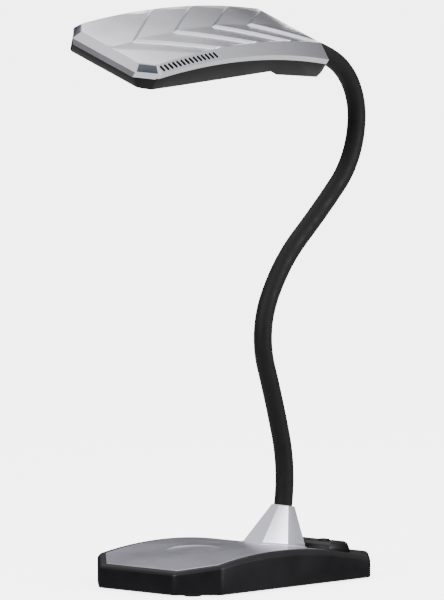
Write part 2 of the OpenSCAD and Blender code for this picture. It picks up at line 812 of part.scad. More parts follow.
barrel_up = 16;
module lens_barrel() {
  color("#141416") on_head() translate([0, lens_y, lens_under - 2.5]) difference() {
    cylinder(d = barrel_d, h = barrel_up);
    translate([0, 0, -1]) cylinder(d = glass_d + 5, h = 3);
    translate([0, 0, -1]) cylinder(d = glass_d - 3, h = 60);
    translate([0, 0, 1.9]) cylinder(d = glass_d + 2 * fit, h = 2);
  }
}
module lens_glass() {
  color("#28303c") on_head() translate([0, lens_y, lens_under - 2.5 + 2]) cylinder(d = glass_d, h = 1.8);
}
module sensor_board() {
  color("#1f5a35") on_head() translate([-19, lens_y - 17, lens_under - 2.5 + barrel_up])
    cube([38, 34, board_t]);
}

// A lamp: a frosted window in the underside, and a board of light chips above it
lamp_board_up = 9;
module lamp_board(y) {
  color("#e4e4e0") on_head() translate([-lamp_l / 2, y - 5, underside_z(-y) + lamp_board_up])
    cube([lamp_l, 10, board_t]);
}
module lamp_window(y) {
  color("#e9eef2") on_head() translate([-lamp_l / 2, y - lamp_w / 2, underside_z(-y) + 0.1])
    cube([lamp_l, lamp_w, 1.8]);
}
module lamp_board_front() { lamp_board(lamp_front_y); }
module lamp_board_rear() { lamp_board(lamp_rear_y); }
module lamp_window_front() { lamp_window(lamp_front_y); }
module lamp_window_rear() { lamp_window(lamp_rear_y); }
leds_per_lamp = 8;
module lamp_leds() {
  color("#f6e27a") on_head() for (y = [lamp_front_y, lamp_rear_y], k = [0:leds_per_lamp - 1])
    translate([(k - (leds_per_lamp - 1) / 2) * lamp_l / leds_per_lamp, y,
               underside_z(-y) + lamp_board_up - 0.6])
      cube([3, 3, 1.2], center = true);
}
mic_y = 28 - head_l;
module microphone() {
  color("#bfa35a") on_head()
    translate([0, mic_y, underside_z(-mic_y) + head_wall + 0.1]) cylinder(d = 6, h = 3);
}
module head_screws() {
  color("#3a3a3d") on_head() for (p = head_screw_spots)
    translate([p[0], p[1], underside_z(-p[1]) + head_screw_sink]) {
      translate([0, 0, -1]) cylinder(d = head_screw_head, h = 1);
      cylinder(d = head_screw_d, h = 9);
    }
}

// ---------- swivel at the head's end ----------
bracket_back = 4;                           // the bracket starts this far in from the sleeve's end
bracket_l = 11;
bracket_w = 30;
bracket_low = 4.8;                          // below the shaft's middle
bracket_high = 7;
bracket_screw_x = 10;
bracket_screw_d = 3;
bracket_floor = underside_z(bracket_back + bracket_l) + head_wall / 2;
ring_t = 2;
ring_d = shaft_d + 4;
rim_t = 2;
shaft_l = bracket_back + bracket_l + ring_t + 0.1;
module along_shaft() { on_neck_end() rotate([90, 0, 0]) children(); }
module upper_ferrule() {
  color("#9b9da3") {
    at_arc_middle(arcs - 1) sphere(d = ball_d, $fn = 96);
    second_half(arcs - 1, stem_d);
    along_shaft() translate([0, 0, -1]) cylinder(d = shaft_d, h = shaft_l + 1);
    // rim that keeps the head from sliding off
    along_shaft() translate([0, 0, shaft_l]) cylinder(d = ring_d, h = rim_t);
  }
}
module swivel_frame() { on_neck_end() rotate([0, head_roll, 0]) children(); }
module neck_bracket() {
  color("#8a8c91") difference() {
    swivel_frame() translate([-bracket_w / 2, -bracket_back - bracket_l, -bracket_low])
      cube([bracket_w, bracket_l, bracket_low + bracket_high]);
    along_shaft() cylinder(d = shaft_d + 2 * swivel_gap, h = 60);
    bracket_holes(bracket_screw_d + 0.1);
  }
}
module bracket_holes(d) {
  swivel_frame() for (x = [-1, 1])
    translate([x * bracket_screw_x, -bracket_back - bracket_l / 2, -bracket_low - 2])
      cylinder(d = d, h = 40);
}
module bracket_screws() {
  color("#c9c9cc") swivel_frame() for (x = [-1, 1])
    translate([x * bracket_screw_x, -bracket_back - bracket_l / 2, 0]) {
      translate([0, 0, -bracket_low - 1.5])
        cylinder(d = bracket_screw_d, h = bracket_low + 1.5 + bracket_high);
      translate([0, 0, bracket_high]) cylinder(d = 5.4, h = 1.6);
    }
}
module swivel_ring() {
  color("#d8d4c8") along_shaft() translate([0, 0, bracket_back + bracket_l]) difference() {
    cylinder(d = ring_d, h = ring_t);
    translate([0, 0, -1]) cylinder(d = shaft_d + 2 * swivel_gap, h = 20);
  }
}

base_housing();
bottom_plate();
top_cover();
rubber_feet();
ballast_plate();
main_board();
board_posts();
board_screws();
case_screws();
control_pod();
key_board();
power_button();
lamp_button();
zoom_out_button();
zoom_in_button();
freeze_button();
status_light();
neck_collar();
neck_flange();
flange_screws();
clamp_nut();
lower_ferrule();
power_jack();
usb_port();
video_port();
lock_plate();
neck_link_1();
neck_link_2();
neck_link_3();
neck_link_4();
neck_link_5();
neck_link_6();
neck_link_7();
neck_sleeve_1();
neck_sleeve_2();
neck_sleeve_3();
neck_sleeve_4();
neck_sleeve_5();
neck_sleeve_6();
neck_sleeve_7();
neck_sleeve_8();
upper_ferrule();
swivel_ring();
neck_bracket();
bracket_screws();
head_top_cover();
head_lower_shell();
corner_window_left();
corner_window_right();
lens_barrel();
lens_glass();
sensor_board();
lamp_board_front();
lamp_board_rear();
lamp_leds();
lamp_window_front();
lamp_window_rear();
microphone();
head_screws();
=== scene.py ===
# %% [markdown]
# # A desk document camera, piece by piece
# The real object is a weighted base with a few keys, a rubber-covered bending neck and a long
# arched head that looks down on a page. The sizes come from the imported model, which is loaded as
# a fixed frame. Everything below is made in metres round that frame.

# %% Load the frame
import json
import math
import bmesh
import bpy
from mathutils import Matrix, Vector


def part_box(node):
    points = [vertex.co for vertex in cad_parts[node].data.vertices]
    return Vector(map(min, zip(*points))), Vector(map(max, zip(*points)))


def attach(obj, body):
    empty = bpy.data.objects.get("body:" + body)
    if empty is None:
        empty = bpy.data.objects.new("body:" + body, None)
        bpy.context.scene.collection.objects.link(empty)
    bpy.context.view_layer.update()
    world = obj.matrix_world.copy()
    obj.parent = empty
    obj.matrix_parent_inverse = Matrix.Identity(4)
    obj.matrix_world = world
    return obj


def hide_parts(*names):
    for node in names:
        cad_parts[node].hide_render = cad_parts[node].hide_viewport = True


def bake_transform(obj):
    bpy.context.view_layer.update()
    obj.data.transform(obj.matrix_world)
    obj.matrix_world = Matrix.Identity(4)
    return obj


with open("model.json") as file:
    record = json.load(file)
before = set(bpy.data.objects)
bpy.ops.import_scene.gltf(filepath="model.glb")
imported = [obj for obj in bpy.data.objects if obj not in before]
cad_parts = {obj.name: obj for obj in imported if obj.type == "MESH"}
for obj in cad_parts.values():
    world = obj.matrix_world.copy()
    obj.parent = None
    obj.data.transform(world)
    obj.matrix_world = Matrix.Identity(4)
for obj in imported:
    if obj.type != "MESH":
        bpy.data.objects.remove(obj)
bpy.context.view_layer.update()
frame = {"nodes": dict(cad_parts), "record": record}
MM = 0.001


def in_scene(name, data):
    thing = bpy.data.objects.new(name, data)
    bpy.context.scene.collection.objects.link(thing)
    return thing


# %% [markdown]
# ## Camera
# A tall thin object is looked at from far away with a long lens, so that its upright lines stay
# parallel. The camera is placed by an azimuth and an elevation about a point on the object, and its
# three axes are written straight into its matrix. That is easier to repeat than a Track To
# constraint, and it leaves no constraint on the camera.

# %% Camera
azimuth, elevation, distance = math.radians(43), math.radians(5.5), 14.0
to_right = Vector((math.cos(azimuth), math.sin(azimuth), 0))
backward = Vector((math.sin(azimuth) * math.cos(elevation),
                   -math.cos(azimuth) * math.cos(elevation), math.sin(elevation)))
upward = backward.cross(to_right)
aim = to_right * -0.0107 + upward * 0.2477
SENSOR_MM, VIEW_SPAN = 24, 0.528
camera_data = bpy.data.cameras.new("studio_camera")
camera_data.sensor_width = SENSOR_MM
camera_data.lens = SENSOR_MM * distance / VIEW_SPAN
camera_data.clip_end = 100
camera = in_scene("studio_camera", camera_data)
camera.matrix_world = Matrix((
    (to_right.x, upward.x, backward.x, (aim + backward * distance).x),
    (to_right.y, upward.y, backward.y, (aim + backward * distance).y),
    (to_right.z, upward.z, backward.z, (aim + backward * distance).z), (0, 0, 0, 1)))
bpy.context.scene.camera = camera
print("lens", round(camera_data.lens, 1), "mm")

# %% [markdown]
# ## Node helpers
# Every finish is a small node tree round one Principled shader. Small helpers keep the trees short:
# they make a node and fill in its sockets, give object coordinates counted in millimetres, mix and
# remap values, and join colour, roughness and a bump to the shader. Patterns in object coordinates
# stay the same size on every piece, because each finished piece sits at the origin with its place
# in its mesh.

# %% Node helpers
def new_material(name, colour, roughness, metallic=0.0, **sockets):
    material = bpy.data.materials.new(name)
    material.use_nodes = True
    shader = material.node_tree.nodes["Principled BSDF"]
    shader.inputs["Base Color"].default_value = (*colour, 1)
    shader.inputs["Roughness"].default_value = roughness
    shader.inputs["Metallic"].default_value = metallic
    for socket, value in sockets.items():
        shader.inputs[socket.replace("_", " ")].default_value = value
    material.diffuse_color = (*colour, 1)
    return material, material.node_tree, shader


def add_node(tree, kind, links=None, **values):
    node = tree.nodes.new(kind)
    for name, value in values.items():
        if hasattr(node, name):
            setattr(node, name, value)
        else:
            node.inputs[name.replace("_", " ")].default_value = value
    for name, source in (links or {}).items():
        tree.links.new(source, node.inputs[name])
    return node


def millimetres(tree, stretch=(1, 1, 1)):
    place = add_node(tree, "ShaderNodeTexCoord")
    scaled = add_node(tree, "ShaderNodeMapping", {"Vector": place.outputs["Object"]})
    scaled.inputs["Scale"].default_value = [1000 * s for s in stretch]
    return scaled.outputs["Vector"]


def mix_colour(tree, factor, one, two):
    mix = tree.nodes.new("ShaderNodeMix")
    mix.data_type = "RGBA"
    tree.links.new(factor, mix.inputs[0])
    for socket, value in ((mix.inputs[6], one), (mix.inputs[7], two)):
        if hasattr(value, "is_linked"):
            tree.links.new(value, socket)
        else:
            socket.default_value = (*value, 1)
    return mix.outputs[2]


def remap(tree, value, low, high, from_low=0.3, from_high=0.7):
    node = add_node(tree, "ShaderNodeMapRange", {"Value": value})
    node.inputs["From Min"].default_value = from_low
    node.inputs["From Max"].default_value = from_high
    node.inputs["To Min"].default_value = low
    node.inputs["To Max"].default_value = high
    return node.outputs["Result"]


def add_bump(tree, shader, height, strength, depth_mm):
    bump = add_node(tree, "ShaderNodeBump", {"Height": height}, Strength=strength)
    bump.inputs["Distance"].default_value = depth_mm * MM
    tree.links.new(bump.outputs["Normal"], shader.inputs["Normal"])


def paint(tree, shader, tone, rough):
    tree.links.new(tone, shader.inputs["Base Color"])
    tree.links.new(rough, shader.inputs["Roughness"])

# %% [markdown]
# ## Moulded plastic and rubber
# The base, the pod, the keys and the head's lower shell are injection-moulded plastic. A mould is
# spark-eroded or blasted, which leaves a fine, even grain that the plastic copies. A noise of a
# third of a millimetre gives that grain as bump, and a slow noise of some centimetres lets the
# roughness drift as handled plastic does and mottles the colour very slightly.

# %% Plastic and rubber finishes
def moulded_plastic(name, colour, roughness, grain_mm=0.35, grain=0.25, drift=0.06, **sockets):
    material, tree, shader = new_material(name, colour, roughness, **sockets)
    shader.inputs["Specular IOR Level"].default_value = 0.26
    where = millimetres(tree)
    fine = add_node(tree, "ShaderNodeTexNoise", {"Vector": where}, Scale=1 / grain_mm, Detail=2.0)
    slow = add_node(tree, "ShaderNodeTexNoise", {"Vector": where}, Scale=0.035, Detail=3.0)
    pale = tuple(min(1, c * 1.14 + 0.0008) for c in colour)
    tone = mix_colour(tree, remap(tree, slow.outputs["Fac"], 0, 1), colour, pale)
    paint(tree, shader, tone,
          remap(tree, slow.outputs["Fac"], roughness - drift, roughness + drift))
    add_bump(tree, shader, fine.outputs["Fac"], grain, 0.05)
    return material


def soft_rubber(name, colour, roughness=0.62):
    material, tree, shader = new_material(name, colour, roughness, Specular_IOR_Level=0.24,
                                          Sheen_Weight=0.04, Sheen_Roughness=0.5)
    where = millimetres(tree)
    pores = add_node(tree, "ShaderNodeTexVoronoi", {"Vector": where}, Scale=2.4)
    dust = add_node(tree, "ShaderNodeTexNoise", {"Vector": where}, Scale=0.12, Detail=5.0)
    greyed = tuple(c * 1.5 + 0.0015 for c in colour)
    tone = mix_colour(tree, remap(tree, dust.outputs["Fac"], 0, 1, 0.4, 0.75), colour, greyed)
    paint(tree, shader, tone,
          remap(tree, dust.outputs["Fac"], roughness - 0.07, roughness + 0.09))
    add_bump(tree, shader, pores.outputs["Distance"], 0.18, 0.06)
    return material


black_plastic = moulded_plastic("black_case_plastic", (0.0058, 0.0052, 0.0066), 0.4)
head_plastic = moulded_plastic("black_head_plastic", (0.003, 0.003, 0.0036), 0.34, grain=0.18)
pod_plastic = moulded_plastic("pod_plastic", (0.0026, 0.0026, 0.003), 0.36, grain=0.2)
key_plastic = moulded_plastic("key_plastic", (0.012, 0.0125, 0.016), 0.34, 0.25, 0.15)
# Painted shade: this near-black plastic lines the walls of the cooling slots and stands in for the
# shadow inside them.
slot_painted_shade = moulded_plastic("slot_painted_shade_plastic", (0.006, 0.006, 0.007), 0.7)
barrel_plastic = moulded_plastic("lens_barrel_plastic", (0.01, 0.01, 0.011), 0.46)
jack_plastic = moulded_plastic("jack_plastic", (0.012, 0.012, 0.012), 0.4)
nylon = moulded_plastic("ring_nylon", (0.62, 0.58, 0.5), 0.45)
sleeve_rubber = soft_rubber("neck_sleeve_rubber", (0.0032, 0.0031, 0.0033))
foot_rubber = soft_rubber("foot_rubber", (0.008, 0.008, 0.008), 0.75)
print(len(bpy.data.materials), "materials so far")

# %% [markdown]
# ## Painted and metal parts
# The silver parts are plastic sprayed with a lacquer that holds aluminium flake. From a metre away
# it reads as a pale metal with a soft highlight; up close each flake lies at its own small angle.
# A cellular texture gives every flake a value, which tips the normal a little and lightens the
# colour. Cast, turned and plated metals share one helper with a stretched noise, because machining
# marks run one way.

# %% Painted and metal finishes
def flake_lacquer(name, colour, roughness, metallic=0.95):
    material, tree, shader = new_material(name, colour, roughness, metallic, Coat_Weight=0.15,
                                          Coat_Roughness=0.2)
    where = millimetres(tree)
    flakes = add_node(tree, "ShaderNodeTexVoronoi", {"Vector": where}, Scale=4.2)
    cloud = add_node(tree, "ShaderNodeTexNoise", {"Vector": where}, Scale=0.02, Detail=2.0)
    grey = add_node(tree, "ShaderNodeRGBToBW", {"Color": flakes.outputs["Color"]})
    light = tuple(min(1, c * 1.16) for c in colour)
    deep = tuple(c * 0.93 for c in colour)
    sparkle = mix_colour(tree, remap(tree, grey.outputs["Val"], 0, 1, 0.1, 0.9), deep, light)
    paint(tree, shader, sparkle,
          remap(tree, cloud.outputs["Fac"], roughness - 0.03, roughness + 0.05))
    add_bump(tree, shader, grey.outputs["Val"], 0.025, 0.03)
    return material


def worked_metal(name, colour, roughness, along=(0.15, 0.15, 6), marks=0.15):
    material, tree, shader = new_material(name, colour, roughness, 1.0)
    streaks = add_node(tree, "ShaderNodeTexNoise", {"Vector": millimetres(tree, along)}, Scale=1.0,
                       Detail=4.0)
    spots = add_node(tree, "ShaderNodeTexNoise", {"Vector": millimetres(tree)}, Scale=0.3,
                     Detail=4.0)
    worn = tuple(c * 0.82 for c in colour)
    tone = mix_colour(tree, remap(tree, spots.outputs["Fac"], 0, 1), colour, worn)
    paint(tree, shader, tone,
          remap(tree, streaks.outputs["Fac"], roughness - 0.08, roughness + 0.12))
    add_bump(tree, shader, streaks.outputs["Fac"], marks, 0.03)
    return material


cover_silver = flake_lacquer("base_cover_lacquer", (0.50, 0.49, 0.57), 0.34)
head_silver = flake_lacquer("head_cover_lacquer", (0.74, 0.74, 0.80), 0.24)
collar_silver = flake_lacquer("collar_lacquer", (0.66, 0.66, 0.73), 0.36)
plate_steel = worked_metal("plate_steel", (0.36, 0.365, 0.38), 0.42)
link_steel = worked_metal("link_steel", (0.42, 0.425, 0.44), 0.35)
ferrule_steel = worked_metal("ferrule_steel", (0.5, 0.505, 0.52), 0.28, (6, 0.2, 0.2))
zinc = worked_metal("screw_zinc", (0.62, 0.62, 0.6), 0.3)
black_screw = worked_metal("screw_black_oxide", (0.03, 0.03, 0.032), 0.38)
brass = worked_metal("post_brass", (0.70, 0.50, 0.20), 0.3)
port_metal = worked_metal("port_metal", (0.58, 0.58, 0.57), 0.3, (0.2, 6, 0.2))
mic_brass = worked_metal("mic_capsule_metal", (0.5, 0.38, 0.16), 0.35)

# %% [markdown]
# ## Glass, windows, boards and lamps
# The lens glass carries a violet-green coating, each front chamfer gets a dark glossy tile, and the
# lamp windows are milky with fine ribs that spread the light. A circuit board is green lacquer over
# copper tracks, so a brick pattern at track size lifts and lightens its surface.

# %% Glass, windows and boards
def clear_part(name, colour, roughness, through, texture_scale, **sockets):
    material, tree, shader = new_material(name, colour, roughness, **sockets)
    shader.inputs["Transmission Weight"].default_value = through
    wisps = add_node(tree, "ShaderNodeTexNoise", {"Vector": millimetres(tree)},
                     Scale=texture_scale, Detail=3.0)
    smear = tuple(min(1, c * 1.1 + 0.004) for c in colour)
    tone = mix_colour(tree, remap(tree, wisps.outputs["Fac"], 0, 1), colour, smear)
    paint(tree, shader, tone,
          remap(tree, wisps.outputs["Fac"], roughness, roughness + 0.05))
    return material, tree, shader


lens_coating = clear_part("coated_lens_glass", (0.02, 0.018, 0.045), 0.03, 0.0, 0.1, IOR=1.6,
                          Coat_Weight=0.8, Coat_Roughness=0.02)[0]
# Dark glossy finish for the tile over the upper part of each front chamfer.
chamfer_tile_dark = clear_part("dark_chamfer_tile_material", (0.034, 0.040, 0.054), 0.14, 0.0, 0.2,
                           Coat_Weight=0.3, Coat_Roughness=0.05)[0]
light_pipe = clear_part("light_pipe_plastic", (0.16, 0.22, 0.18), 0.15, 0.3, 0.5)[0]
frosted, frosted_tree, frosted_shader = clear_part("frosted_lamp_window", (0.80, 0.83, 0.86), 0.4,
                                                   0.25, 0.4, Subsurface_Weight=0.15)
lamp_ribs = add_node(frosted_tree, "ShaderNodeTexWave", {"Vector": millimetres(frosted_tree)},
                     Scale=0.45, Distortion=0.0, bands_direction="X")
add_bump(frosted_tree, frosted_shader, lamp_ribs.outputs["Fac"], 0.5, 0.2)


def board_lacquer(name, lacquer, track):
    material, tree, shader = new_material(name, lacquer, 0.35)
    tracks = add_node(tree, "ShaderNodeTexBrick", {"Vector": millimetres(tree)}, Scale=0.35,
                      Mortar_Size=0.06, Brick_Width=2.6, Row_Height=0.55)
    tone = mix_colour(tree, tracks.outputs["Fac"], lacquer, track)
    paint(tree, shader, tone, remap(tree, tracks.outputs["Fac"], 0.35, 0.22, 0, 1))
    add_bump(tree, shader, tracks.outputs["Fac"], 0.4, 0.08)
    return material


circuit_board = board_lacquer("circuit_board_lacquer", (0.012, 0.10, 0.04), (0.04, 0.20, 0.09))
lamp_board = board_lacquer("lamp_board_lacquer", (0.75, 0.75, 0.72), (0.6, 0.6, 0.56))
led_phosphor = moulded_plastic("led_phosphor", (0.85, 0.72, 0.22), 0.4, 0.2, 0.1)
print(len(bpy.data.materials), "materials")

# %% [markdown]
# ## Which finish each carried-over piece takes
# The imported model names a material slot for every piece. Pieces whose CAD shape is already right
# stay as they are and only get their finish, by assigning to their material slots.

# %% Finishes by slot
finishes = {
    "black_case": black_plastic, "silver_cover": cover_silver, "silver_collar": collar_silver,
    "foot_rubber": foot_rubber, "plate_steel": plate_steel, "circuit_board": circuit_board,
    "post_brass": brass, "screw_zinc": zinc, "screw_black": black_screw,
    "pod_plastic": pod_plastic, "key_plastic": key_plastic, "light_pipe": light_pipe,
    "ferrule_steel": ferrule_steel, "jack_plastic": jack_plastic, "port_metal": port_metal,
    "link_steel": link_steel, "sleeve_rubber": sleeve_rubber, "ring_nylon": nylon,
    "black_shell": head_plastic, "dark_window": chamfer_tile_dark, "barrel_plastic": barrel_plastic,
    "lens_glass": lens_coating, "lamp_board": lamp_board, "led_chip": led_phosphor,
    "frosted_window": frosted, "mic_capsule": mic_brass}
slot_of = {part["node"]: part["material_slot"] for part in frame["record"]["subparts"]}
for name, node in frame["nodes"].items():
    finish = finishes[slot_of[name]]
    if not node.material_slots:
        node.data.materials.append(finish)
    for material_slot in node.material_slots:
        material_slot.material = finish
print("carried-over pieces:", len(frame["nodes"]))

# %% [markdown]
# ## Mesh helpers
# `make_mesh` turns points in millimetres into an object. `join_rings` closes a stack of rings with
# quads, which is how most housings here are lofted, and `closed_rings` adds a lid at both ends.
# `round_edges` puts a small radius on the hard edges, because no moulded edge is perfectly sharp
# and the thin highlight there is what makes a part look real. `soften` does the same to a copy of a
# CAD piece, whose loose triangles are merged into flat faces first.

# %% Mesh helpers
def make_mesh(name, points, faces, finish):
    mesh = bpy.data.meshes.new(name)
    mesh.from_pydata([[v * MM for v in p] for p in points], [], faces)
    piece = in_scene(name, mesh)
    mesh.materials.append(finish)
    tidy_mesh(piece)
    return piece


def tidy_mesh(piece, merge_mm=0.002):
    work = bmesh.new()
    work.from_mesh(piece.data)
    bmesh.ops.remove_doubles(work, verts=work.verts, dist=merge_mm * MM)
    bmesh.ops.dissolve_degenerate(work, edges=work.edges, dist=merge_mm * MM)
    bmesh.ops.recalc_face_normals(work, faces=work.faces)
    work.to_mesh(piece.data)
    work.free()


def join_rings(count, rings):
    return [(r * count + i, r * count + (i + 1) % count, (r + 1) * count + (i + 1) % count,
             (r + 1) * count + i) for r in range(rings - 1) for i in range(count)]


def closed_rings(count, rings):
    last = rings * count - 1
    return join_rings(count, rings) + [tuple(range(count)),
                                       tuple(range(last, last - count, -1))]


def circle(radius, z, sides):
    turns = [2 * math.pi * k / sides for k in range(sides)]
    return [(radius * math.cos(a), radius * math.sin(a), z) for a in turns]


def bake(piece):
    bpy.context.view_layer.update()
    ready = piece.evaluated_get(bpy.context.evaluated_depsgraph_get())
    mesh = bpy.data.meshes.new_from_object(ready)
    piece.modifiers.clear()
    piece.data = mesh
    return piece


def shade(piece, sharp_deg=30):
    piece.data.shade_smooth()
    piece.data.set_sharp_from_angle(angle=math.radians(sharp_deg))
    return piece


def round_edges(piece, radius_mm, segments=2, from_deg=30, sharp_deg=30):
    bevel = piece.modifiers.new("edge_radius", "BEVEL")
    bevel.width = radius_mm * MM
    bevel.segments = segments
    bevel.limit_method = "ANGLE"
    bevel.angle_limit = math.radians(from_deg)
    bevel.miter_outer = "MITER_ARC"
    bake(piece)
    return shade(piece, sharp_deg)


def place(piece, body, slot, *nodes):
    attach(piece, body)
    if nodes:
        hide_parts(*nodes)
    print(piece.name, len(piece.data.polygons), "faces on", body)
    return piece


def soften(node, body, radius_mm=0.4, segments=2, flat_deg=0.6):
    piece = frame["nodes"][node].copy()
    piece.data = piece.data.copy()
    for key in list(piece.keys()):
        del piece[key]
    piece.parent = None
    piece.name = node + "_rounded"
    bpy.context.scene.collection.objects.link(piece)
    work = bmesh.new()
    work.from_mesh(piece.data)
    bmesh.ops.remove_doubles(work, verts=work.verts, dist=0.004 * MM)
    bmesh.ops.dissolve_limit(work, angle_limit=math.radians(flat_deg), verts=work.verts,
                             edges=work.edges)
    work.to_mesh(piece.data)
    work.free()
    round_edges(piece, radius_mm, segments)
    return place(piece, body, slot_of[node], node)

# %% [markdown]
# ## The base's outline
# Seen from above the base is a rectangle with its corners cut off. Every ring of the housing is
# that outline pulled inwards, sampled at the same places along the sides, so that rings join point
# by point. The top is one long arch in side view, ending in a flat deck for the keys. A ring's
# right half runs from front to back, and its mirror image is the left half.

# %% Base outline and arch
half_l, half_w, corner_leg = 126.0, 75.0, 30.0
crown_y, crown_z, front_rim_z, deck_z, foot_z = -18.0, 34.0, 21.0, 20.5, 1.5
arch_r = ((half_l + crown_y) ** 2 + (crown_z - front_rim_z) ** 2) / (2 * (crown_z - front_rim_z))
side_steps = list(range(-88, 80, 8)) + [85.2, 91.4]


def arch_z(y):
    return crown_z - arch_r + math.sqrt(arch_r ** 2 - (y - crown_y) ** 2)


def base_top(y):
    return max(arch_z(y), deck_z) if y > 0 else arch_z(y)


def half_outline(inset, corner=7.0):
    w, l = half_w - inset, half_l - inset
    c = corner_leg - inset * (2 - math.sqrt(2))
    radius = max(corner - inset, 0.4)
    reach = radius * math.tan(math.radians(22.5))
    corners = [((w - c, -l), 0), ((w, c - l), 45), ((w, l - c), 90), ((w - c, l), 135)]
    points = []
    for (cx, cy), heading in corners:
        start, turn = math.radians(heading), math.radians(heading + 45)
        ax, ay = cx - reach * math.cos(start), cy - reach * math.sin(start)
        mx, my = ax - radius * math.sin(start), ay + radius * math.cos(start)
        for k in range(6):
            a = start + (turn - start) * k / 5
            points.append((mx + radius * math.sin(a), my - radius * math.cos(a)))
        if heading == 45:
            points += [(w, y) for y in side_steps]
    return points


edge_line = half_outline(0)
outline_count = len(edge_line)
print("points in half an outline:", outline_count, "arch radius", round(arch_r, 1), "mm")

# %% [markdown]
# ## Base housing
# The housing is lofted from rings: a wall standing on the plate, straight sides, a chamfer along
# the top edge that is widest beside the keys and thins out to the front, and a step down that the
# silver cover drops into. The top is closed by strips that run straight across from each point to
# its mirror image, so the arch needs no other detail.

# %% Base housing
def chamfer_at(y):
    spots = [(-126, 2.0), (-90, 2.6), (-30, 4.2), (60, 4.8), (100, 3.4), (127, 2.0)]
    for (y0, c0), (y1, c1) in zip(spots, spots[1:]):
        if y <= y1:
            return c0 + (c1 - c0) * max(0.0, (y - y0) / (y1 - y0))
    return spots[-1][1]


def full_ring(inset_of, height_of):
    right = []
    for i in range(outline_count):
        inset = inset_of(edge_line[i][1])
        x, y = half_outline(inset)[i]
        right.append((x, y, height_of(y, edge_line[i][1])))
    return right + [(-x, y, z) for x, y, z in reversed(right)]


def strips(start, count):
    return [(start + i, start + i + 1, start + 2 * count - 2 - i, start + 2 * count - 1 - i)
            for i in range(count - 1)]


base_rings = [
    full_ring(lambda e: 3.6, lambda y, e: foot_z + 3.2),
    full_ring(lambda e: 3.1, lambda y, e: foot_z),
    full_ring(lambda e: 0.7, lambda y, e: foot_z),
    full_ring(lambda e: 0.0, lambda y, e: foot_z + 0.9),
    full_ring(lambda e: 0.0, lambda y, e: base_top(y) - chamfer_at(e) - 0.9),
    full_ring(lambda e: 0.28, lambda y, e: base_top(y) - chamfer_at(e)),
    full_ring(lambda e: 0.86 * chamfer_at(e), lambda y, e: base_top(y) - 0.34),
    full_ring(lambda e: 0.86 * chamfer_at(e) + 0.9, lambda y, e: base_top(y)),
    full_ring(lambda e: 6.45, lambda y, e: base_top(y)),
    full_ring(lambda e: 6.8, lambda y, e: base_top(y) - 0.3),
    full_ring(lambda e: 6.85, lambda y, e: base_top(y) - (2.3 if e < 85.1 else 0.3))]
base_points = [p for ring in base_rings for p in ring]
ring_size = 2 * outline_count
base_faces = join_rings(ring_size, len(base_rings))
base_faces += strips(0, outline_count) + strips(ring_size * (len(base_rings) - 1), outline_count)
base_shell = make_mesh("base_shell", base_points, base_faces, black_plastic)
print("base shell:", len(base_points), "points")

# %% [markdown]
# ## Openings for the sockets and the lock slot
# Holes through a lofted wall are easiest as a Boolean: a cutter of the hole's shape is taken away
# and then deleted. The cutters are rounded blocks, so each hole gets soft corners in one go.

# %% Openings in the housing
def block_points(w, l, h):
    return [(x * w / 2, y * l / 2, z * h / 2) for z in (-1, 1) for y in (-1, 1) for x in (-1, 1)]


BLOCK_FACES = [(0, 2, 3, 1), (4, 5, 7, 6), (0, 1, 5, 4), (2, 6, 7, 3), (0, 4, 6, 2), (1, 3, 7, 5)]


def cut_away(piece, cutters):
    for cutter in cutters:
        cut = piece.modifiers.new("opening", "BOOLEAN")
        cut.object = cutter
        cut.operation = "DIFFERENCE"
        cut.solver = "EXACT"
        cut.material_mode = "TRANSFER"
    bake(piece)
    for cutter in cutters:
        bpy.data.objects.remove(cutter)
    return piece


def block(name, centre, size, radius_mm):
    piece = make_mesh(name, block_points(*size), BLOCK_FACES, black_plastic)
    if radius_mm:
        round_edges(piece, radius_mm, 2)
    piece.data.transform(Matrix.Translation([c * MM for c in centre]))
    return piece


def drum(name, centre, diameter, height, turn, sides=48):
    points = [p for z in (-height / 2, height / 2) for p in circle(diameter / 2, z, sides)]
    piece = make_mesh(name, points, closed_rings(sides, 2), black_plastic)
    piece.data.transform(Matrix.Translation([c * MM for c in centre]) @ turn)
    return piece


flat_turn = Matrix.Rotation(math.radians(90), 4, "X")
cut_away(base_shell, [
    drum("jack_hole", (-26, half_l, 11), 11.4, 20, flat_turn),
    block("usb_hole", (-6, half_l, 11), (13.4, 20, 6.9), 0.6),
    block("video_hole", (18, half_l, 11), (16.4, 20, 7.4), 0.9),
    block("lock_hole", (-half_w, 76, 11), (12, 14.4, 8.4), 0.6)])
shade(base_shell, 24)
place(base_shell, "base", "black_case", "base_housing")

# %% [markdown]
# ## Silver cover
# The cover is a thin arched plate that fills the step in the housing, with a bright edge all round
# and a shallow round dish on its front half, where a badge would sit. It is lofted from the same
# outline, cut short behind the neck, and the dish is a Boolean with a bowl-shaped cutter that is
# tilted to lie along the arch.

# %% Silver cover
cover_inset, cover_back = 7, 85.0
cover_count = sum(1 for x, y in half_outline(cover_inset) if y < cover_back - 1) + 1


def cover_ring(inset, drop):
    right = half_outline(cover_inset + inset)[:cover_count - 1]
    right.append((half_w - cover_inset - inset, cover_back - inset))
    right = [(x, y, base_top(y) - drop) for x, y in right]
    return right + [(-x, y, z) for x, y, z in reversed(right)]


cover_rings = [cover_ring(0.2, 2.0), cover_ring(0.0, 1.8), cover_ring(0.0, 0.45),
               cover_ring(0.16, 0.13), cover_ring(0.5, 0.0)]
cover_faces = join_rings(2 * cover_count, len(cover_rings)) + strips(0, cover_count)
cover_faces += strips(2 * cover_count * (len(cover_rings) - 1), cover_count)
base_cover = make_mesh("base_cover", [p for ring in cover_rings for p in ring], cover_faces,
                       cover_silver)


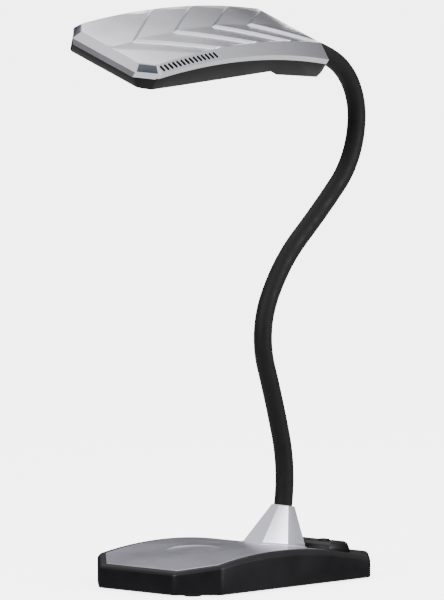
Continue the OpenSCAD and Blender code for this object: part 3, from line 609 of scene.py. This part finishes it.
dish_y, DISH_SIDES = -52.0, 96
dish_steps = [(34, -1.25), (42, -1.15), (47, -0.85), (51, -0.2), (52.5, 0.3), (54, 1.5)]
dish = make_mesh("dish_cutter", [p for d, z in dish_steps for p in circle(d / 2, z, DISH_SIDES)],
                 closed_rings(DISH_SIDES, len(dish_steps)), cover_silver)
dish_tilt = math.asin((crown_y - dish_y) / arch_r)
dish.data.transform(Matrix.Translation((0, dish_y * MM, arch_z(dish_y) * MM))
                    @ Matrix.Rotation(dish_tilt, 4, "X"))
cut_away(base_cover, [dish])
shade(base_cover, 12)
place(base_cover, "base", "silver_cover", "top_cover")

# %% [markdown]
# ## Neck line
# The neck's middle line is a chain of eight equal arcs, each with its own bend. A joint sits in the
# middle of each arc. The same few numbers give every arc's start, heading and end, so the collar,
# the sleeves and the head all find their places from one function.

# %% Neck line
arc_bend = [-25, -4, 46, 23, -4, -44, -63, -29]
arc_l = 515.0 / len(arc_bend)
neck_y, neck_z, neck_lean = 63.0, 61.0, 10.0
sleeve_d, sleeve_wall = 16.3, 1.5


def neck_point(arc, share):
    heading = math.radians(neck_lean + sum(arc_bend[:arc]))
    y, z = neck_y, neck_z
    for i in range(arc + 1):
        begin = math.radians(neck_lean + sum(arc_bend[:i]))
        part = 1.0 if i < arc else share
        bend = math.radians(arc_bend[i]) * part
        radius = arc_l / math.radians(arc_bend[i])
        y += radius * (math.cos(begin) - math.cos(begin + bend))
        z += radius * (math.sin(begin + bend) - math.sin(begin))
    return y, z, heading + math.radians(arc_bend[arc]) * share


neck_end = neck_point(7, 1.0)
print("neck ends at", [round(v, 2) for v in neck_end[:2]], "mm")

# %% [markdown]
# ## Collar
# The collar is an eight-sided cone that leans with the neck and flares into a small skirt where it
# meets the cover. Its eight upright edges are straight, so each facet is ruled between a stretch of
# the top octagon and a stretch of the foot. The foot's points slide down along the facets until
# they reach the arch, which is a short search by halving.

# %% Collar
foot_right = [(12, -41), (20, -15), (20, 7), (10, 16)]
foot_corners = foot_right + [(-x, y) for x, y in reversed(foot_right)]
top_reach = 10.4 / math.cos(math.radians(22.5))
top_corners = [(top_reach * math.cos(math.radians(a)), top_reach * math.sin(math.radians(a)))
               for a in (-67.5, -22.5, 22.5, 67.5, 112.5, 157.5, 202.5, 247.5)]
lean = (Matrix.Translation((0, neck_y, neck_z))
        @ Matrix.Rotation(-math.radians(neck_lean), 4, "X"))
PER_FACET = 8


def around(corners):
    count = len(corners)
    for k in range(count):
        for j in range(PER_FACET):
            s = j / PER_FACET
            a, b = corners[k], corners[(k + 1) % count]
            yield tuple(a[i] + (b[i] - a[i]) * s for i in range(len(a)))


collar_top = [lean @ Vector((x, y, 1.5)) for x, y in around(top_corners)]
collar_foot = [Vector((x, neck_y + y, 31.0)) for x, y in around(foot_corners)]


def down_facet(k, t):
    top, foot = collar_top[k], collar_foot[k]
    return top.lerp(foot, t) if t <= 1 else foot - Vector((0, 0, (t - 1) * 30))


def on_arch(k, rise):
    low, high = 0.0, 2.0
    for _ in range(40):
        middle = (low + high) / 2
        point = down_facet(k, middle)
        low, high = (middle, high) if point.z > arch_z(point.y) + rise else (low, middle)
    return down_facet(k, low)


def collar_ring(kind, amount):
    points = []
    for k in range(len(collar_top)):
        if kind == "rise":
            points.append(on_arch(k, amount))
        elif kind == "skirt":
            foot, out = on_arch(k, 0.0), on_arch(k, 0.0) - Vector((0, neck_y - 8, 0))
            out.z = 0
            spot = foot + out.normalized() * amount[0]
            points.append(Vector((spot.x, spot.y, arch_z(spot.y) + amount[1])))
        else:
            spot = lean.inverted() @ collar_top[k]
            angle = math.atan2(spot.y, spot.x)
            if kind == "octagon":
                points.append(lean @ Vector((spot.x * amount[0], spot.y * amount[0], amount[1])))
            else:
                points.append(lean @ Vector((amount[0] * math.cos(angle),
                                             amount[0] * math.sin(angle), amount[1])))
    return [tuple(p) for p in points]


collar_rings = [
    collar_ring("bore", (8.35, -24.0)), collar_ring("skirt", (2.0, -1.2)),
    collar_ring("skirt", (5.0, -0.6)), collar_ring("skirt", (4.7, 0.14)),
    collar_ring("skirt", (2.6, 0.42)), collar_ring("rise", 1.5), collar_ring("rise", 3.2),
    collar_ring("octagon", (1.0, 0.9)), collar_ring("octagon", (0.975, 1.32)),
    collar_ring("octagon", (0.93, 1.5)), collar_ring("bore", (8.75, 1.5)),
    collar_ring("bore", (8.35, 1.1)), collar_ring("bore", (8.35, -24.0))]
collar_size = len(collar_top)
neck_collar = make_mesh("neck_collar_shell", [p for ring in collar_rings for p in ring],
                        join_rings(collar_size, len(collar_rings)), collar_silver)
shade(neck_collar, 14)
place(neck_collar, "base", "silver_collar", "neck_collar")

# %% [markdown]
# ## Pod and keys
# The pod behind the collar and its five keys already have the right shape in CAD, but with knife
# edges. Merged copies with small radii stand in for them: 0.5 mm on the pod's mound and 0.55 mm on
# the keys, which fingers press. Each key rides on its own body, because it slides by itself.

# %% Pod, keys, lock plate and sockets
soften("control_pod", "base", 0.5, 2)
for key in ("power", "lamp", "zoom_out", "zoom_in", "freeze"):
    soften(key + "_button", key + "_key", 0.55, 3)
soften("lock_plate", "base", 0.25)
soften("power_jack", "base", 0.25)
soften("usb_port", "base", 0.15)
soften("video_port", "base", 0.15)

# %% [markdown]
# ## One tree that sets copies out
# Feet, screws, light chips and cooling slots are all one shape set out many times. A Geometry Nodes
# tree takes the points of a mesh, turns a master piece by each point's own `turn` attribute, spins
# it at random about its axis (the seed is fixed, so every run is alike), makes the copies real and
# gives them their finish. Without Realize Instances an exported model would lose them.

# %% The setting-out tree
def open_socket(tree, name, kind, way="INPUT"):
    return tree.interface.new_socket(name=name, in_out=way, socket_type=kind)


setting_out = bpy.data.node_groups.new("set_out_copies", "GeometryNodeTree")
open_socket(setting_out, "Geometry", "NodeSocketGeometry", "OUTPUT")
open_socket(setting_out, "Points", "NodeSocketGeometry")
copy_inputs = {name: open_socket(setting_out, name, kind).identifier for name, kind in (
    ("Master", "NodeSocketObject"), ("Spin", "NodeSocketFloat"), ("Seed", "NodeSocketInt"),
    ("Finish", "NodeSocketMaterial"))}
given = add_node(setting_out, "NodeGroupInput")
master = add_node(setting_out, "GeometryNodeObjectInfo", {"Object": given.outputs["Master"]})
turn = add_node(setting_out, "GeometryNodeInputNamedAttribute", data_type="FLOAT_VECTOR")
turn.inputs["Name"].default_value = "turn"
copies = add_node(setting_out, "GeometryNodeInstanceOnPoints", {
    "Points": given.outputs["Points"], "Instance": master.outputs["Geometry"],
    "Rotation": turn.outputs["Attribute"]})
chance = add_node(setting_out, "FunctionNodeRandomValue", {"Seed": given.outputs["Seed"]},
                  data_type="FLOAT")
amount = add_node(setting_out, "ShaderNodeMath", operation="MULTIPLY")
setting_out.links.new(chance.outputs[1], amount.inputs[0])
setting_out.links.new(given.outputs["Spin"], amount.inputs[1])
about = add_node(setting_out, "ShaderNodeCombineXYZ", {"Z": amount.outputs["Value"]})
spun = add_node(setting_out, "GeometryNodeRotateInstances", {
    "Instances": copies.outputs["Instances"], "Rotation": about.outputs["Vector"]})
real = add_node(setting_out, "GeometryNodeRealizeInstances", {"Geometry": spun.outputs[0]})
dressed = add_node(setting_out, "GeometryNodeSetMaterial", {
    "Geometry": real.outputs["Geometry"], "Material": given.outputs["Finish"]})
add_node(setting_out, "NodeGroupOutput", {"Geometry": dressed.outputs["Geometry"]})


def set_out(name, master_piece, spots, turns, finish, spin=0.0, seed=1):
    mesh = bpy.data.meshes.new(name)
    mesh.from_pydata([tuple(s) for s in spots], [], [])
    turned = mesh.attributes.new("turn", "FLOAT_VECTOR", "POINT")
    for i, angles in enumerate(turns):
        turned.data[i].vector = angles
    piece = in_scene(name, mesh)
    tree = piece.modifiers.new("set_out", "NODES")
    tree.node_group = setting_out
    for socket, value in (("Master", master_piece), ("Spin", spin), ("Seed", seed),
                          ("Finish", finish)):
        tree[copy_inputs[socket]] = value
    bake(piece)
    if not piece.data.materials:
        piece.data.materials.append(finish)
    bpy.data.objects.remove(master_piece)
    print(name, "has", len(spots), "copies")
    return piece


def turned_piece(name, profile, finish, sides=40):
    points = [p for r, z in profile for p in circle(r, z, sides)]
    return make_mesh(name, points, closed_rings(sides, len(profile)), finish)


# %% [markdown]
# ## Feet and case screws
# A foot is a rubber disc with a rounded rim and two shallow grooves that grip the desk. A screw has
# a low domed head with a cross recess, cut with two thin blocks. Both masters are turned about Z,
# and the tree spins each screw to a different angle, as a driver would leave it.

# %% Feet and case screws
foot_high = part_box("rubber_feet")[1]
foot_x, foot_y = foot_high.x - 8 * MM, foot_high.y - 8 * MM
foot = turned_piece("foot_master", [(6.0, 3.4), (6.0, 1.5), (8.0, 1.5), (8.0, 0.55), (7.8, 0.2),
                                    (7.4, 0.0), (6.3, 0.0), (6.1, 0.35), (5.5, 0.35), (5.3, 0.0),
                                    (3.9, 0.0), (3.7, 0.35), (3.1, 0.35), (2.9, 0.0), (0.6, 0.0)],
                    foot_rubber)
corners = [(sx, sy) for sx in (-1, 1) for sy in (-1, 1)]
feet = set_out("grooved_feet", foot, [(sx * foot_x, sy * foot_y, 0) for sx, sy in corners],
               [(0, 0, 0)] * 4, foot_rubber, seed=3)
shade(feet, 28)
place(feet, "base", "foot_rubber", "rubber_feet")


def screw_master(head_d, head_h, shank_d, shank_l, finish):
    r = head_d / 2
    screw = turned_piece("screw_master", [
        (0.3, -head_h), (r * 0.55, -head_h * 0.98), (r * 0.86, -head_h * 0.78), (r, -head_h * 0.4),
        (r, 0.0), (shank_d / 2, 0.0), (shank_d / 2, shank_l), (0.3, shank_l + 0.6)], finish, 32)
    depth = head_h * 0.7
    return cut_away(screw, [
        block("slot_a", (0, 0, -head_h), (head_d * 0.62, head_d * 0.13, 2 * depth), 0),
        block("slot_b", (0, 0, -head_h), (head_d * 0.13, head_d * 0.62, 2 * depth), 0)])


case_low, case_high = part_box("case_screws")
case_x, case_y = case_high.x - 2.9 * MM, case_high.y - 2.9 * MM
case_screws = set_out(
    "cross_head_case_screws", screw_master(5.8, 0.8, 2.9, 8.2, black_screw),
    [(sx * case_x, sy * case_y, case_low.z + 0.8 * MM) for sx, sy in corners], [(0, 0, 0)] * 4,
    black_screw, spin=3.1, seed=7)
shade(case_screws, 25)
place(case_screws, "base", "screw_black", "case_screws")

# %% [markdown]
# ## Rubber sleeve of the neck
# The sleeve is one rubber tube on the real neck. Here it is eight lengths, one for each arc of the
# neck line, with a joint of the neck in the middle of each. A second tree sweeps a circle along a
# line of points. The line starts and ends with a short straight step, so that the end rings stand
# square to the neck and neighbouring lengths meet without a visible seam. Solidify then gives the
# rubber its wall.

# %% Sleeve
sweeping = bpy.data.node_groups.new("sweep_tube", "GeometryNodeTree")
open_socket(sweeping, "Geometry", "NodeSocketGeometry", "OUTPUT")
open_socket(sweeping, "Line", "NodeSocketGeometry")
tube_inputs = {name: open_socket(sweeping, name, kind).identifier for name, kind in (
    ("Radius", "NodeSocketFloat"), ("Sides", "NodeSocketInt"), ("Finish", "NodeSocketMaterial"))}
line = add_node(sweeping, "NodeGroupInput")
as_curve = add_node(sweeping, "GeometryNodeMeshToCurve", {"Mesh": line.outputs["Line"]})
section = add_node(sweeping, "GeometryNodeCurvePrimitiveCircle", {
    "Resolution": line.outputs["Sides"], "Radius": line.outputs["Radius"]})
swept = add_node(sweeping, "GeometryNodeCurveToMesh", {
    "Curve": as_curve.outputs["Curve"], "Profile Curve": section.outputs["Curve"]})
whole = add_node(sweeping, "GeometryNodeRealizeInstances", {"Geometry": swept.outputs["Mesh"]})
coated = add_node(sweeping, "GeometryNodeSetMaterial", {
    "Geometry": whole.outputs["Geometry"], "Material": line.outputs["Finish"]})
add_node(sweeping, "NodeGroupOutput", {"Geometry": coated.outputs["Geometry"]})


def arc_points(arc, steps=26, step_mm=0.35):
    shares = [0.0, step_mm / arc_l] + [k / steps for k in range(1, steps)]
    shares += [1 - step_mm / arc_l, 1.0]
    points = []
    for share in shares:
        y, z = neck_point(arc, share)[:2]
        points.append((0, y * MM, z * MM))
    for end, inner, sign in ((0, 1, 1), (-1, -2, -1)):
        y, z, heading = neck_point(arc, 0.0 if end == 0 else 1.0)
        points[inner] = (0, (y + sign * step_mm * math.sin(heading)) * MM,
                         (z + sign * step_mm * math.cos(heading)) * MM)
    return points


def sleeve_length(number):
    points = arc_points(number - 1)
    mesh = bpy.data.meshes.new(f"rubber_sleeve_{number}")
    mesh.from_pydata(points, [(k, k + 1) for k in range(len(points) - 1)], [])
    piece = in_scene(f"rubber_sleeve_{number}", mesh)
    sweep = piece.modifiers.new("sweep", "NODES")
    sweep.node_group = sweeping
    for socket, value in (("Radius", sleeve_d / 2 * MM), ("Sides", 56),
                          ("Finish", sleeve_rubber)):
        sweep[tube_inputs[socket]] = value
    bake(piece)
    tidy_mesh(piece)
    wall = piece.modifiers.new("wall", "SOLIDIFY")
    wall.thickness, wall.offset = sleeve_wall * MM, -1
    bake(piece)
    tidy_mesh(piece)
    if not piece.data.materials:
        piece.data.materials.append(sleeve_rubber)
    return shade(piece, 50), points


for number in range(1, 9):
    sleeve, points = sleeve_length(number)
    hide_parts(f"neck_sleeve_{number}")
    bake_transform(sleeve)
    print(sleeve.name, len(sleeve.data.polygons), "faces")

# %% [markdown]
# ## The head's frame and lines
# The head is drawn in its own frame, with its back face at zero and its length running forwards,
# then turned onto the end of the neck. Three long lines shape it: the arched seam between the two
# shells, the waist five millimetres above it where the head is widest, and the edge of the top
# face. The two front corners are cut off at 45 degrees.

# %% Head frame and lines
head_turn = (Matrix.Translation((0, neck_end[0] * MM, neck_end[1] * MM))
             @ Matrix.Rotation(math.radians(19.5), 4, "Y")
             @ Matrix.Rotation(math.radians(1), 4, "Z")
             @ Matrix.Translation((0, -0.6 * MM, 3.4 * MM)))
head_l, front_cut = 240.0, 15.0
side_end = head_l - front_cut
waist_rise, waist_back, waist_flare = 5.0, 51, 3
face_back, face_flare, face_corner = 39, 8.5, 270.5
seam_rise, top_rise, top_back, top_front = 11.6, 9.6, 2.4, 235.0
seam_r = (head_l ** 2 / 4 + seam_rise ** 2) / (2 * seam_rise)
top_run = top_front - top_back
top_r = (top_run ** 2 / 4 + top_rise ** 2) / (2 * top_rise)


def seam_z(a):
    return seam_rise - seam_r + math.sqrt(seam_r ** 2 - (a - head_l / 2) ** 2)


def top_z(a):
    u = (a - top_back) / top_run
    return 16.5 - 4.0 * u + top_rise - top_r + math.sqrt(top_r ** 2 - ((u - 0.5) * top_run) ** 2)


def waist_half(a):
    widest = waist_back + waist_flare * a / head_l
    return min(widest, waist_back + waist_flare * side_end / head_l + side_end - a)


def top_half(a):
    return min(face_back + face_flare * a / head_l, face_corner - a)


top_side_end = 223.35
print("head is", head_l, "mm long, its seam rises", seam_rise, "mm")

# %% [markdown]
# ## Silver top of the head
# The top face carries four stepped chevrons that point forwards. Each is a sloping band five
# millimetres wide, and the panel behind it starts high and sinks towards the next band, like the
# teeth of a saw. A grid with its rows bent along the chevrons gives them crisp straight edges,
# which a plain square grid would turn into little stairs. Rows that run past the edge of the face
# are clamped onto it and merged. The sides hang from the grid's boundary, and an inner skin closes
# it.

# %% Silver top of the head
chevron_apex = [208.0, 157.0, 107.0, 60.0]
band, sweep_rate, step_deep = 5.0, 72 / 47, 1.5
COLUMNS = 44


def saw_height(v):
    marks = [(400.0, 0.0), (242.0, 0.0)]
    for apex in chevron_apex:
        marks += [(apex, -step_deep), (apex - band, 0.0)]
    marks += [(12.0, -step_deep), (-60.0, -step_deep)]
    for (v0, h0), (v1, h1) in zip(marks, marks[1:]):
        if v1 <= v <= v0:
            return h0 + (h1 - h0) * (v0 - v) / (v0 - v1)
    return 0.0


def on_row(v, t):
    slope = sweep_rate * abs(t)
    a = (v - slope * face_back) / (1 + slope * face_flare / head_l)
    a = min(max(a, top_back), top_front)
    real_v = a + slope * (face_back + face_flare * a / head_l)
    fade = min(1.0, (1 - abs(t)) / 0.07, (a - top_back) / 3 + 0.02, (top_front - a) / 3 + 0.02)
    return a, saw_height(real_v) * max(fade, 0.0)


row_values = set(range(0, 318, 4))
for apex in chevron_apex:
    row_values -= {v for v in row_values if apex - band - 1.5 < v < apex + 1.5}
    row_values |= {apex, apex - band}
row_values = sorted(row_values, reverse=True)
column_values = [2 * j / COLUMNS - 1 for j in range(COLUMNS + 1)]
column_values = sorted(column_values + [-0.93, 0.93])


def edge_match(a, t):
    if a >= top_front:
        return head_l
    if a <= top_back:
        return 0.0
    if a <= top_side_end:
        return (a - top_back) / (top_side_end - top_back) * side_end
    return side_end + (a - top_side_end) / (top_front - top_side_end) * front_cut


def head_grid(inner):
    points = []
    for v in row_values:
        for t in column_values:
            a, h = on_row(v, t)
            if inner:
                y = min(max(a, top_back + 2.4), top_front - 2.6)
                points.append((t * (top_half(a) - 2.2), -y, top_z(a) - 2.4))
            else:
                points.append((t * top_half(a), -a, top_z(a) + h))
    return points


rows, cols = len(row_values), len(column_values)
rim = [(0, j) for j in range(cols)] + [(i, cols - 1) for i in range(1, rows)]
rim += [(rows - 1, j) for j in range(cols - 2, -1, -1)] + [(i, 0) for i in range(rows - 2, 0, -1)]


def rim_ring(line):
    ring = []
    for i, j in rim:
        t = column_values[j]
        a = on_row(row_values[i], t)[0]
        b = edge_match(a, t)
        inside = 2.2 if line == "inner_seam" else 0.0
        half = waist_half(b) - (0.0 if line == "waist" else 1.6) - inside
        y = min(max(b, inside), head_l - inside)
        ring.append((t * half, -y, seam_z(b) + (waist_rise if line == "waist" else 0.0)))
    return ring


outer, inner = head_grid(False), head_grid(True)
grid_faces = [(i * cols + j, i * cols + j + 1, (i + 1) * cols + j + 1, (i + 1) * cols + j)
              for i in range(rows - 1) for j in range(cols - 1)]
size = rows * cols
rings = [rim_ring("waist"), rim_ring("seam"), rim_ring("inner_seam")]
head_points = outer + inner + [p for ring in rings for p in ring]
head_faces = grid_faces + [tuple(size + k for k in face) for face in grid_faces]
outer_rim = [i * cols + j for i, j in rim]
lines = [outer_rim] + [[2 * size + r * len(rim) + k for k in range(len(rim))] for r in range(3)]
lines.append([size + k for k in outer_rim])
for one, two in zip(lines, lines[1:]):
    count = len(rim)
    head_faces += [(one[k], one[(k + 1) % count], two[(k + 1) % count], two[k])
                   for k in range(count)]
head_cover = make_mesh("chevron_head_cover", head_points, head_faces, head_silver)
head_cover.data.transform(head_turn)
round_edges(head_cover, 0.7, 2, 24, 6)
print("head cover:", len(head_cover.data.polygons), "faces")

# %% [markdown]
# ## Cooling slots
# A row of fourteen slanted slots lets warm air out of each flank near the front. The setting-out
# tree places one rounded cutter per slot, square to the flank and leaning with it, and a Boolean
# takes them all away at once. The cutters' near-black plastic carries over to the walls of the
# slots as painted shade: it stands in for the shadow inside the slots.

# %% Cooling slots
def stadium(length, width, z, per_end=8):
    points = []
    for side in (1, -1):
        for k in range(per_end + 1):
            a = math.radians(-90 + 180 * k / per_end) + (0 if side > 0 else math.pi)
            points.append((side * (length - width) / 2 + width / 2 * math.cos(a),
                           width / 2 * math.sin(a), z))
    return points


slot_rings = [stadium(6.8, 2.7, -4.0), stadium(6.8, 2.7, 0.9), stadium(7.6, 3.5, 1.6)]
slot_count, slot_front, slot_pitch, slot_slant = 14, 219, 5.2, 35
# The cutters carry the painted shade that the slot walls take over.
slot_cutter = make_mesh("slot_master", [p for ring in slot_rings for p in ring],
                        closed_rings(len(slot_rings[0]), len(slot_rings)), slot_painted_shade)
spots, turns = [], []
for side in (-1, 1):
    for k in range(slot_count):
        a = slot_front - slot_pitch * k
        spot = Vector((side * (waist_half(a) + top_half(a)) / 2, -a,
                       (seam_z(a) + waist_rise + top_z(a)) / 2)) * MM
        flank_rise = top_z(a) - seam_z(a) - waist_rise
        out = Vector((side * 1.0, 0, (waist_half(a) - top_half(a)) / flank_rise))
        out.normalize()
        along = Vector((0, 1, 0)).cross(out) * -side
        along = Matrix.Rotation(math.radians(slot_slant) * side, 4, out) @ along
        axes = Matrix((along, out.cross(along), out)).transposed().to_4x4()
        spots.append(head_turn @ spot)
        turns.append((head_turn @ axes).to_euler())
slot_cutters = set_out("slot_cutters", slot_cutter, spots, turns, slot_painted_shade)
cut_away(head_cover, [slot_cutters])
shade(head_cover, 6)
place(head_cover, "head", "silver_cover", "head_top_cover")

# %% [markdown]
# ## Lower shell and dark corner tiles
# The black lower shell keeps its CAD shape, which holds the deep block at the neck's end and the
# long flat with the lens and lamps, and gains rounded edges. A dark glossy tile covers each front
# chamfer from the waist nearly to the top edge. Each is a shallow tile whose corners are shares of
# the way across and up the chamfer's own four corners, so that it lies flush however the chamfer
# leans.

# %% Lower shell and dark corner tiles
soften("head_lower_shell", "head", 0.45, 2, 0.3)


def corner_spot(side, u, v, out):
    low = Vector((side * waist_half(side_end), -side_end, seam_z(side_end) + waist_rise)).lerp(
        Vector((side * waist_half(head_l), -head_l, seam_z(head_l) + waist_rise)), u)
    high = Vector((side * top_half(top_side_end), -top_side_end, top_z(top_side_end))).lerp(
        Vector((side * top_half(top_front), -top_front, top_z(top_front))), u)
    outward = Vector((side * 1.0, -1.0, 0.9)).normalized()
    return tuple(low.lerp(high, v) + outward * out)


# A dark glossy tile over the upper part of one front chamfer, from the waist nearly to the top
# edge.
def corner_window(name, side, node):
    layers = [(0.07, 0.14, -1.4), (0.05, 0.11, 0.05), (0.05, 0.11, 0.3), (0.08, 0.17, 0.45)]
    points = [corner_spot(side, u, v, out) for du, dv, out in layers
              for u, v in ((du, dv), (1 - du, dv), (1 - du, 1 - dv), (du, 1 - dv))]
    faces = join_rings(4, len(layers)) + [(0, 1, 2, 3), (12, 13, 14, 15)]
    window = make_mesh(name, points, faces, chamfer_tile_dark)
    window.data.transform(head_turn)
    round_edges(window, 0.25, 2, 20, 25)
    return place(window, "head", "dark_window", node)


corner_window("smoked_corner_left", -1, "corner_window_left")
corner_window("smoked_corner_right", 1, "corner_window_right")

# %% [markdown]
# ## Lens, lamps and screws under the head
# The glass is a shallow dome turned about the lens's axis. The lamp windows and the barrel keep
# their CAD shapes with soft edges. Each light chip is a small tray with a domed top, set out by the
# same tree as the feet, and so are the four screws that hold the two shells together.

# %% Lens, lamps and head screws
soften("lens_barrel", "head", 0.3)
soften("lamp_window_front", "head", 0.4)
soften("lamp_window_rear", "head", 0.4)


def underside_z(a):
    marks = [(0, -13), (5, -13), (61, -6.5), (69, -2.6), (188, -6.9), (240, -8.4)]
    for (a0, z0), (a1, z1) in zip(marks, marks[1:]):
        if a <= a1:
            return z0 + (z1 - z0) * (a - a0) / (a1 - a0)
    return marks[-1][1]


lens_a = 128
glass_low = underside_z(lens_a) - 2.5 + 2.0
dome = [(7.5, 1.7), (7.5, 0.55)]
dome += [(7.5 * math.cos(math.radians(k)), 0.55 - 0.75 * math.sin(math.radians(k)))
         for k in range(12, 85, 8)]
lens_glass = turned_piece("domed_lens_glass", dome + [(0.15, -0.2)], lens_coating, 64)
lens_glass.data.transform(head_turn @ Matrix.Translation((0, -lens_a * MM, glass_low * MM)))
shade(lens_glass, 40)
place(lens_glass, "head", "lens_glass", "lens_glass")

chip = turned_piece("chip_master", [(1.9, 0.55), (1.95, 0.45), (1.95, -0.3), (1.85, -0.42),
                                    (1.5, -0.42), (1.3, -0.3), (0.7, -0.5), (0.1, -0.55)],
                    led_phosphor, 4)
chip.data.transform(Matrix.Rotation(math.radians(45), 4, "Z"))
per_lamp, chip_pitch, chip_rise = 8, 8, 8.4
chip_spots = [head_turn @ (Vector(((k - (per_lamp - 1) / 2) * chip_pitch, y,
                                   underside_z(-y) + chip_rise)) * MM)
              for y in (-170.0, -92.0) for k in range(per_lamp)]
chips = set_out("light_chips", chip, chip_spots, [head_turn.to_euler()] * len(chip_spots),
                led_phosphor)
place(shade(chips), "head", "led_chip", "lamp_leds")

head_spots = [(x, y) for x in (-36, 36) for y in (-22, -205)]
head_screws = set_out(
    "cross_head_shell_screws", screw_master(5.4, 1.0, 2.9, 8.5, black_screw),
    [head_turn @ (Vector((x, y, underside_z(-y) + 1.2)) * MM) for x, y in head_spots],
    [head_turn.to_euler()] * 4, black_screw, spin=3.1, seed=11)
place(shade(head_screws, 25), "head", "screw_black", "head_screws")

# %% [markdown]
# ## Studio
# Black and silver things read well on a glowing pale sheet with darkness at the sides. The floor
# here is a wide glowing disc that doesn't show in reflections, so that the blacks stay deep, and it
# is clear from below, so that the underside can be looked at. What the object mirrors is the world
# instead: dark near the horizon, bright overhead. The camera itself sees a plain pale world. Soft
# panels do the rest, one high behind for the top, two in front.

# %% Studio
RADIUS, SIDES = 17.0, 96
paper, paper_tree, paper_shader = new_material("studio_paper", (0.86, 0.86, 0.86), 0.9,
                                               Emission_Strength=4.2)
paper_shader.inputs["Emission Color"].default_value = (1, 1, 1, 1)
fibre = add_node(paper_tree, "ShaderNodeTexNoise", {"Vector": millimetres(paper_tree)}, Scale=0.4)
add_bump(paper_tree, paper_shader, fibre.outputs["Fac"], 0.02, 0.2)
underneath = add_node(paper_tree, "ShaderNodeNewGeometry")
see_through = add_node(paper_tree, "ShaderNodeBsdfTransparent")
paper_mix = add_node(paper_tree, "ShaderNodeMixShader", {"Fac": underneath.outputs["Backfacing"]})
paper_tree.links.new(paper_shader.outputs[0], paper_mix.inputs[1])
paper_tree.links.new(see_through.outputs[0], paper_mix.inputs[2])
paper_tree.links.new(paper_mix.outputs[0], paper_tree.nodes["Material Output"].inputs["Surface"])
sheet = bpy.data.meshes.new("studio_floor")
sheet.from_pydata(circle(RADIUS, 0, SIDES), [], [tuple(range(SIDES))])
sheet.materials.append(paper)
floor = in_scene("studio_floor", sheet)
floor.visible_glossy = floor.visible_diffuse = floor.visible_transmission = False

world = bpy.data.worlds.new("studio_surroundings")
world.use_nodes = True
sky = world.node_tree
direction = add_node(sky, "ShaderNodeTexCoord")
split = add_node(sky, "ShaderNodeSeparateXYZ", {"Vector": direction.outputs["Generated"]})
ramp = add_node(sky, "ShaderNodeValToRGB", {"Fac": remap(sky, split.outputs["Z"], 0, 1, -1, 1)})
stops = [(0.0, 0.7), (0.34, 0.5), (0.45, 0.08), (0.52, 0.02), (0.66, 0.03), (0.85, 0.55),
         (1.0, 1.0)]
ramp.color_ramp.elements[0].position, ramp.color_ramp.elements[1].position = 0.0, 1.0
for position, value in stops[1:-1]:
    ramp.color_ramp.elements.new(position)
for element, (position, value) in zip(ramp.color_ramp.elements, stops):
    element.position, element.color = position, (value, value, value, 1)
rays = add_node(sky, "ShaderNodeLightPath")
background = sky.nodes["Background"]
sky.links.new(mix_colour(sky, rays.outputs["Is Camera Ray"], ramp.outputs["Color"], (3, 3, 3)),
              background.inputs["Color"])
background.inputs["Strength"].default_value = 1.7
bpy.context.scene.world = world
ahead = Vector((-backward.x, -backward.y, 0)).normalized()
lit_point = Vector((0, 0, 0.28))


def soft_panel(name, right, up, back, power, width, height):
    light = bpy.data.lights.new(name, "AREA")
    light.shape, light.size, light.size_y, light.energy = "RECTANGLE", width, height, power
    lamp = in_scene(name, light)
    spot = to_right * right - ahead * back + Vector((0, 0, up))
    lamp.matrix_world = Matrix.Translation(spot) @ (
        lit_point - spot).to_track_quat("-Z", "Y").to_matrix().to_4x4()
    return lamp


soft_panel("key_panel", 1.9, 1.0, 0.9, 46, 0.9, 0.9)
soft_panel("back_panel", 0.0, 2.2, -0.9, 12, 2.2, 0.7)
soft_panel("left_panel", -1.2, 1.25, 1.5, 38, 0.9, 0.8)
print("studio ready, world stops", len(ramp.color_ramp.elements))
